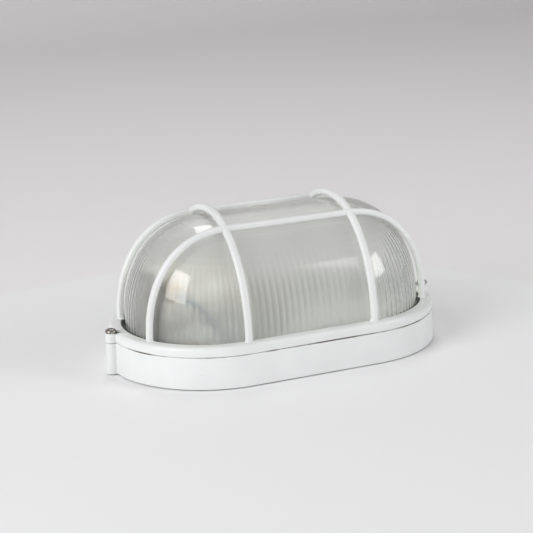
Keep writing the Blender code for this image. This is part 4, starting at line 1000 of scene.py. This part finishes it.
def threaded_shell():
    """Radius minus depth times a raised cosine of (height / pitch - angle), fading at both ends."""
    low, high = (np.array(corner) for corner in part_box("lampholder_shell"))
    length, middle = high[0] - low[0], (low + high) / 2
    angle = np.linspace(0, 2 * np.pi, SHELL_COLUMNS, endpoint=False)[None, :]
    height = np.linspace(0, length, SHELL_ROWS)[:, None]
    fade = np.clip(np.minimum(height, length - height) / (SHELL_RUN_OUT * SHELL_PITCH), 0, 1)
    sink = SHELL_THREAD * fade * (0.5 - 0.5 * np.cos(2 * np.pi * height / SHELL_PITCH - angle))

    def turn_about_x(radius, along):
        """Rings about the shell's axis, which points along X."""
        return np.stack(np.broadcast_arrays(low[0] + along, middle[1] + radius * np.cos(angle),
                                            middle[2] + radius * np.sin(angle)), axis=-1)

    outside = turn_about_x(SHELL_RADIUS - sink, height)
    inside = turn_about_x(SHELL_RADIUS - SHELL_WALL - sink, np.maximum(height, SHELL_WALL))[::-1]
    hole = turn_about_x(SHELL_HOLE, np.array([[SHELL_WALL], [0.0]]))
    return mesh_object("threaded_shell", *loft([*outside, *inside, *hole], closed=True))


shell_piece = finish_piece(outwards(threaded_shell()), "base", "brass")
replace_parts(shell_piece, "lampholder_shell")
report(shell_piece)

# %% [markdown]
# ## The two wires
#
# A blue and a brown wire run from the lampholder to the terminal block. Each is a round tube on a smooth
# curve through the points of its route. A bevelled curve would do as well. The computed tube is a plain
# mesh from the start, as all the other pieces are. Every ring of it stands square to the curve, and a
# fixed direction that the wire never points along keeps the rings from twisting.

# %% Insulated wires
WIRE_RADIUS, WIRE_SIDES, ROUTE_STEP, POINTS_PER_SPAN = 1.1 * MM, 16, 0.8 * MM, 16
NEVER_ALONG = (0.55, -0.25, 0.80)
NEUTRAL_ROUTE = ((-65.7, -13.1, 46.0), (-65.2, -24.1, 45.5), (-59.0, -28.0, 41.0), (-52.0, -27.5, 34.0),
                 (-46.0, -26.5, 24.0), (-39.0, -20.0, 16.0), (-28.0, -8.0, 12.5), (-12.0, 4.0, 11.8),
                 (4.0, 12.0, 12.2), (14.2, 19.0, 13.0), (15.2, 27.5, 13.0), (15.2, 30.5, 13.0))
LINE_ROUTE = ((-65.7, 13.1, 46.0), (-66.2, 23.6, 45.0), (-66.5, 27.5, 37.0), (-67.0, 25.0, 26.0),
              (-66.0, 16.0, 16.5), (-65.5, 3.0, 14.5), (-65.5, -12.0, 15.0), (-62.0, -22.5, 17.0),
              (-52.0, -27.5, 16.0), (-40.0, -26.0, 10.0), (-28.0, -17.0, 6.5), (-16.0, -4.0, 6.0),
              (-5.0, 10.0, 7.2), (5.8, 19.0, 13.0), (6.8, 27.5, 13.0), (6.8, 30.5, 13.0))


def smooth_route(route):
    """Points a step apart on the cubic curve through the route's points, which are in millimetres.

    The slope at each point is half the line between its two neighbours."""
    knots = np.array(route) * MM
    padded = np.vstack([2 * knots[0] - knots[1], knots, 2 * knots[-1] - knots[-2]])
    p0, p1, p2, p3 = (padded[i:len(padded) - 3 + i, None, :] for i in range(4))
    t = np.linspace(0, 1, POINTS_PER_SPAN, endpoint=False)[None, :, None]
    dense = 0.5 * (2 * p1 + (p2 - p0) * t + (2 * p0 - 5 * p1 + 4 * p2 - p3) * t ** 2
                   + (3 * p1 - p0 - 3 * p2 + p3) * t ** 3)
    dense = np.concatenate([dense.reshape(-1, 3), knots[-1:]])
    run = np.concatenate([[0], np.cumsum(np.linalg.norm(np.diff(dense, axis=0), axis=1))])
    marks = np.linspace(0, run[-1], round(run[-1] / ROUTE_STEP) + 1)
    return np.column_stack([np.interp(marks, run, dense[:, axis]) for axis in range(3)])


def wire(name, node, route, slot):
    """A tube with its rings square to the smoothed route."""
    path = smooth_route(route)
    ahead = np.gradient(path, axis=0)
    ahead /= np.linalg.norm(ahead, axis=1)[:, None]
    side = np.cross(ahead, NEVER_ALONG)
    side /= np.linalg.norm(side, axis=1)[:, None]
    over = np.cross(ahead, side)
    angle = np.linspace(0, 2 * np.pi, WIRE_SIDES, endpoint=False)[None, :, None]
    loops = path[:, None] + WIRE_RADIUS * (side[:, None] * np.cos(angle) + over[:, None] * np.sin(angle))
    piece = finish_piece(outwards(mesh_object(name, *loft(list(loops)))), "base", slot)
    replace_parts(piece, node)
    return piece


report(wire("blue_wire", "neutral_lead", NEUTRAL_ROUTE, "blue_pvc"))
report(wire("brown_wire", "line_lead", LINE_ROUTE, "brown_pvc"))

# %% [markdown]
# ## The pieces that keep their shape
#
# The other small pieces already have their true form in the frame. Each gets a copy whose loose triangles are
# merged, flat faces are joined, and edges are softened by a small bevel. Without that bevel an edge has no
# highlight, and a small part looks cut from paper.

# %% Softened copies
MERGE_DISTANCE, FLAT_ANGLE, SHARP_ANGLE = 0.001 * MM, math.radians(1.0), math.radians(40)


def softened(node, slot, body, bevel):
    """A merged copy of a frame piece with a two-step bevel on its sharp edges."""
    work = bmesh.new()
    work.from_mesh(frame["nodes"][node].data)
    bmesh.ops.remove_doubles(work, verts=work.verts, dist=MERGE_DISTANCE)
    bmesh.ops.dissolve_limit(work, angle_limit=FLAT_ANGLE, verts=work.verts, edges=work.edges)
    mesh = bpy.data.meshes.new(node + "_soft")
    work.to_mesh(mesh)
    work.free()
    piece = bpy.data.objects.new(node + "_soft", mesh)
    bpy.context.scene.collection.objects.link(piece)
    soften = piece.modifiers.new("soften", "BEVEL")
    soften.width, soften.segments, soften.limit_method = bevel, 2, "ANGLE"
    soften.angle_limit = SHARP_ANGLE
    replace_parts(finish_piece(piece, body, slot, smooth=38.0), node)
    return piece


# For each slot, its frame pieces and the width of their bevel in millimetres
SOFTENED = {
    "porcelain": {"lampholder_body": 0.35},
    "brass": {"lampholder_contact": 0.12, "line_terminal": 0.15, "neutral_terminal": 0.15,
              "line_terminal_screw": 0.1, "neutral_terminal_screw": 0.1, "line_clamp": 0.1,
              "neutral_clamp": 0.1, "line_lead_screw": 0.08, "neutral_lead_screw": 0.08,
              "line_supply_screw": 0.08, "neutral_supply_screw": 0.08},
    "zinc_plated_steel": {"lampholder_bracket": 0.2, "block_fixing_screw": 0.1, "earth_washer": 0.12},
    "cream_plastic": {"terminal_block": 0.25},
    "black_rubber": {"cable_grommet": 0.25, "left_screw_keeper": 0.1, "right_screw_keeper": 0.1},
}
home = {node: body for body, nodes in frame["record"]["behaviour"]["bodies"].items() for node in nodes}
for slot, nodes in SOFTENED.items():
    for node, bevel in nodes.items():
        softened(node, slot, home[node], bevel * MM)
shown = [item.name for item in frame["nodes"].values() if not item.hide_render]
print("frame pieces still shown as they are:", shown)
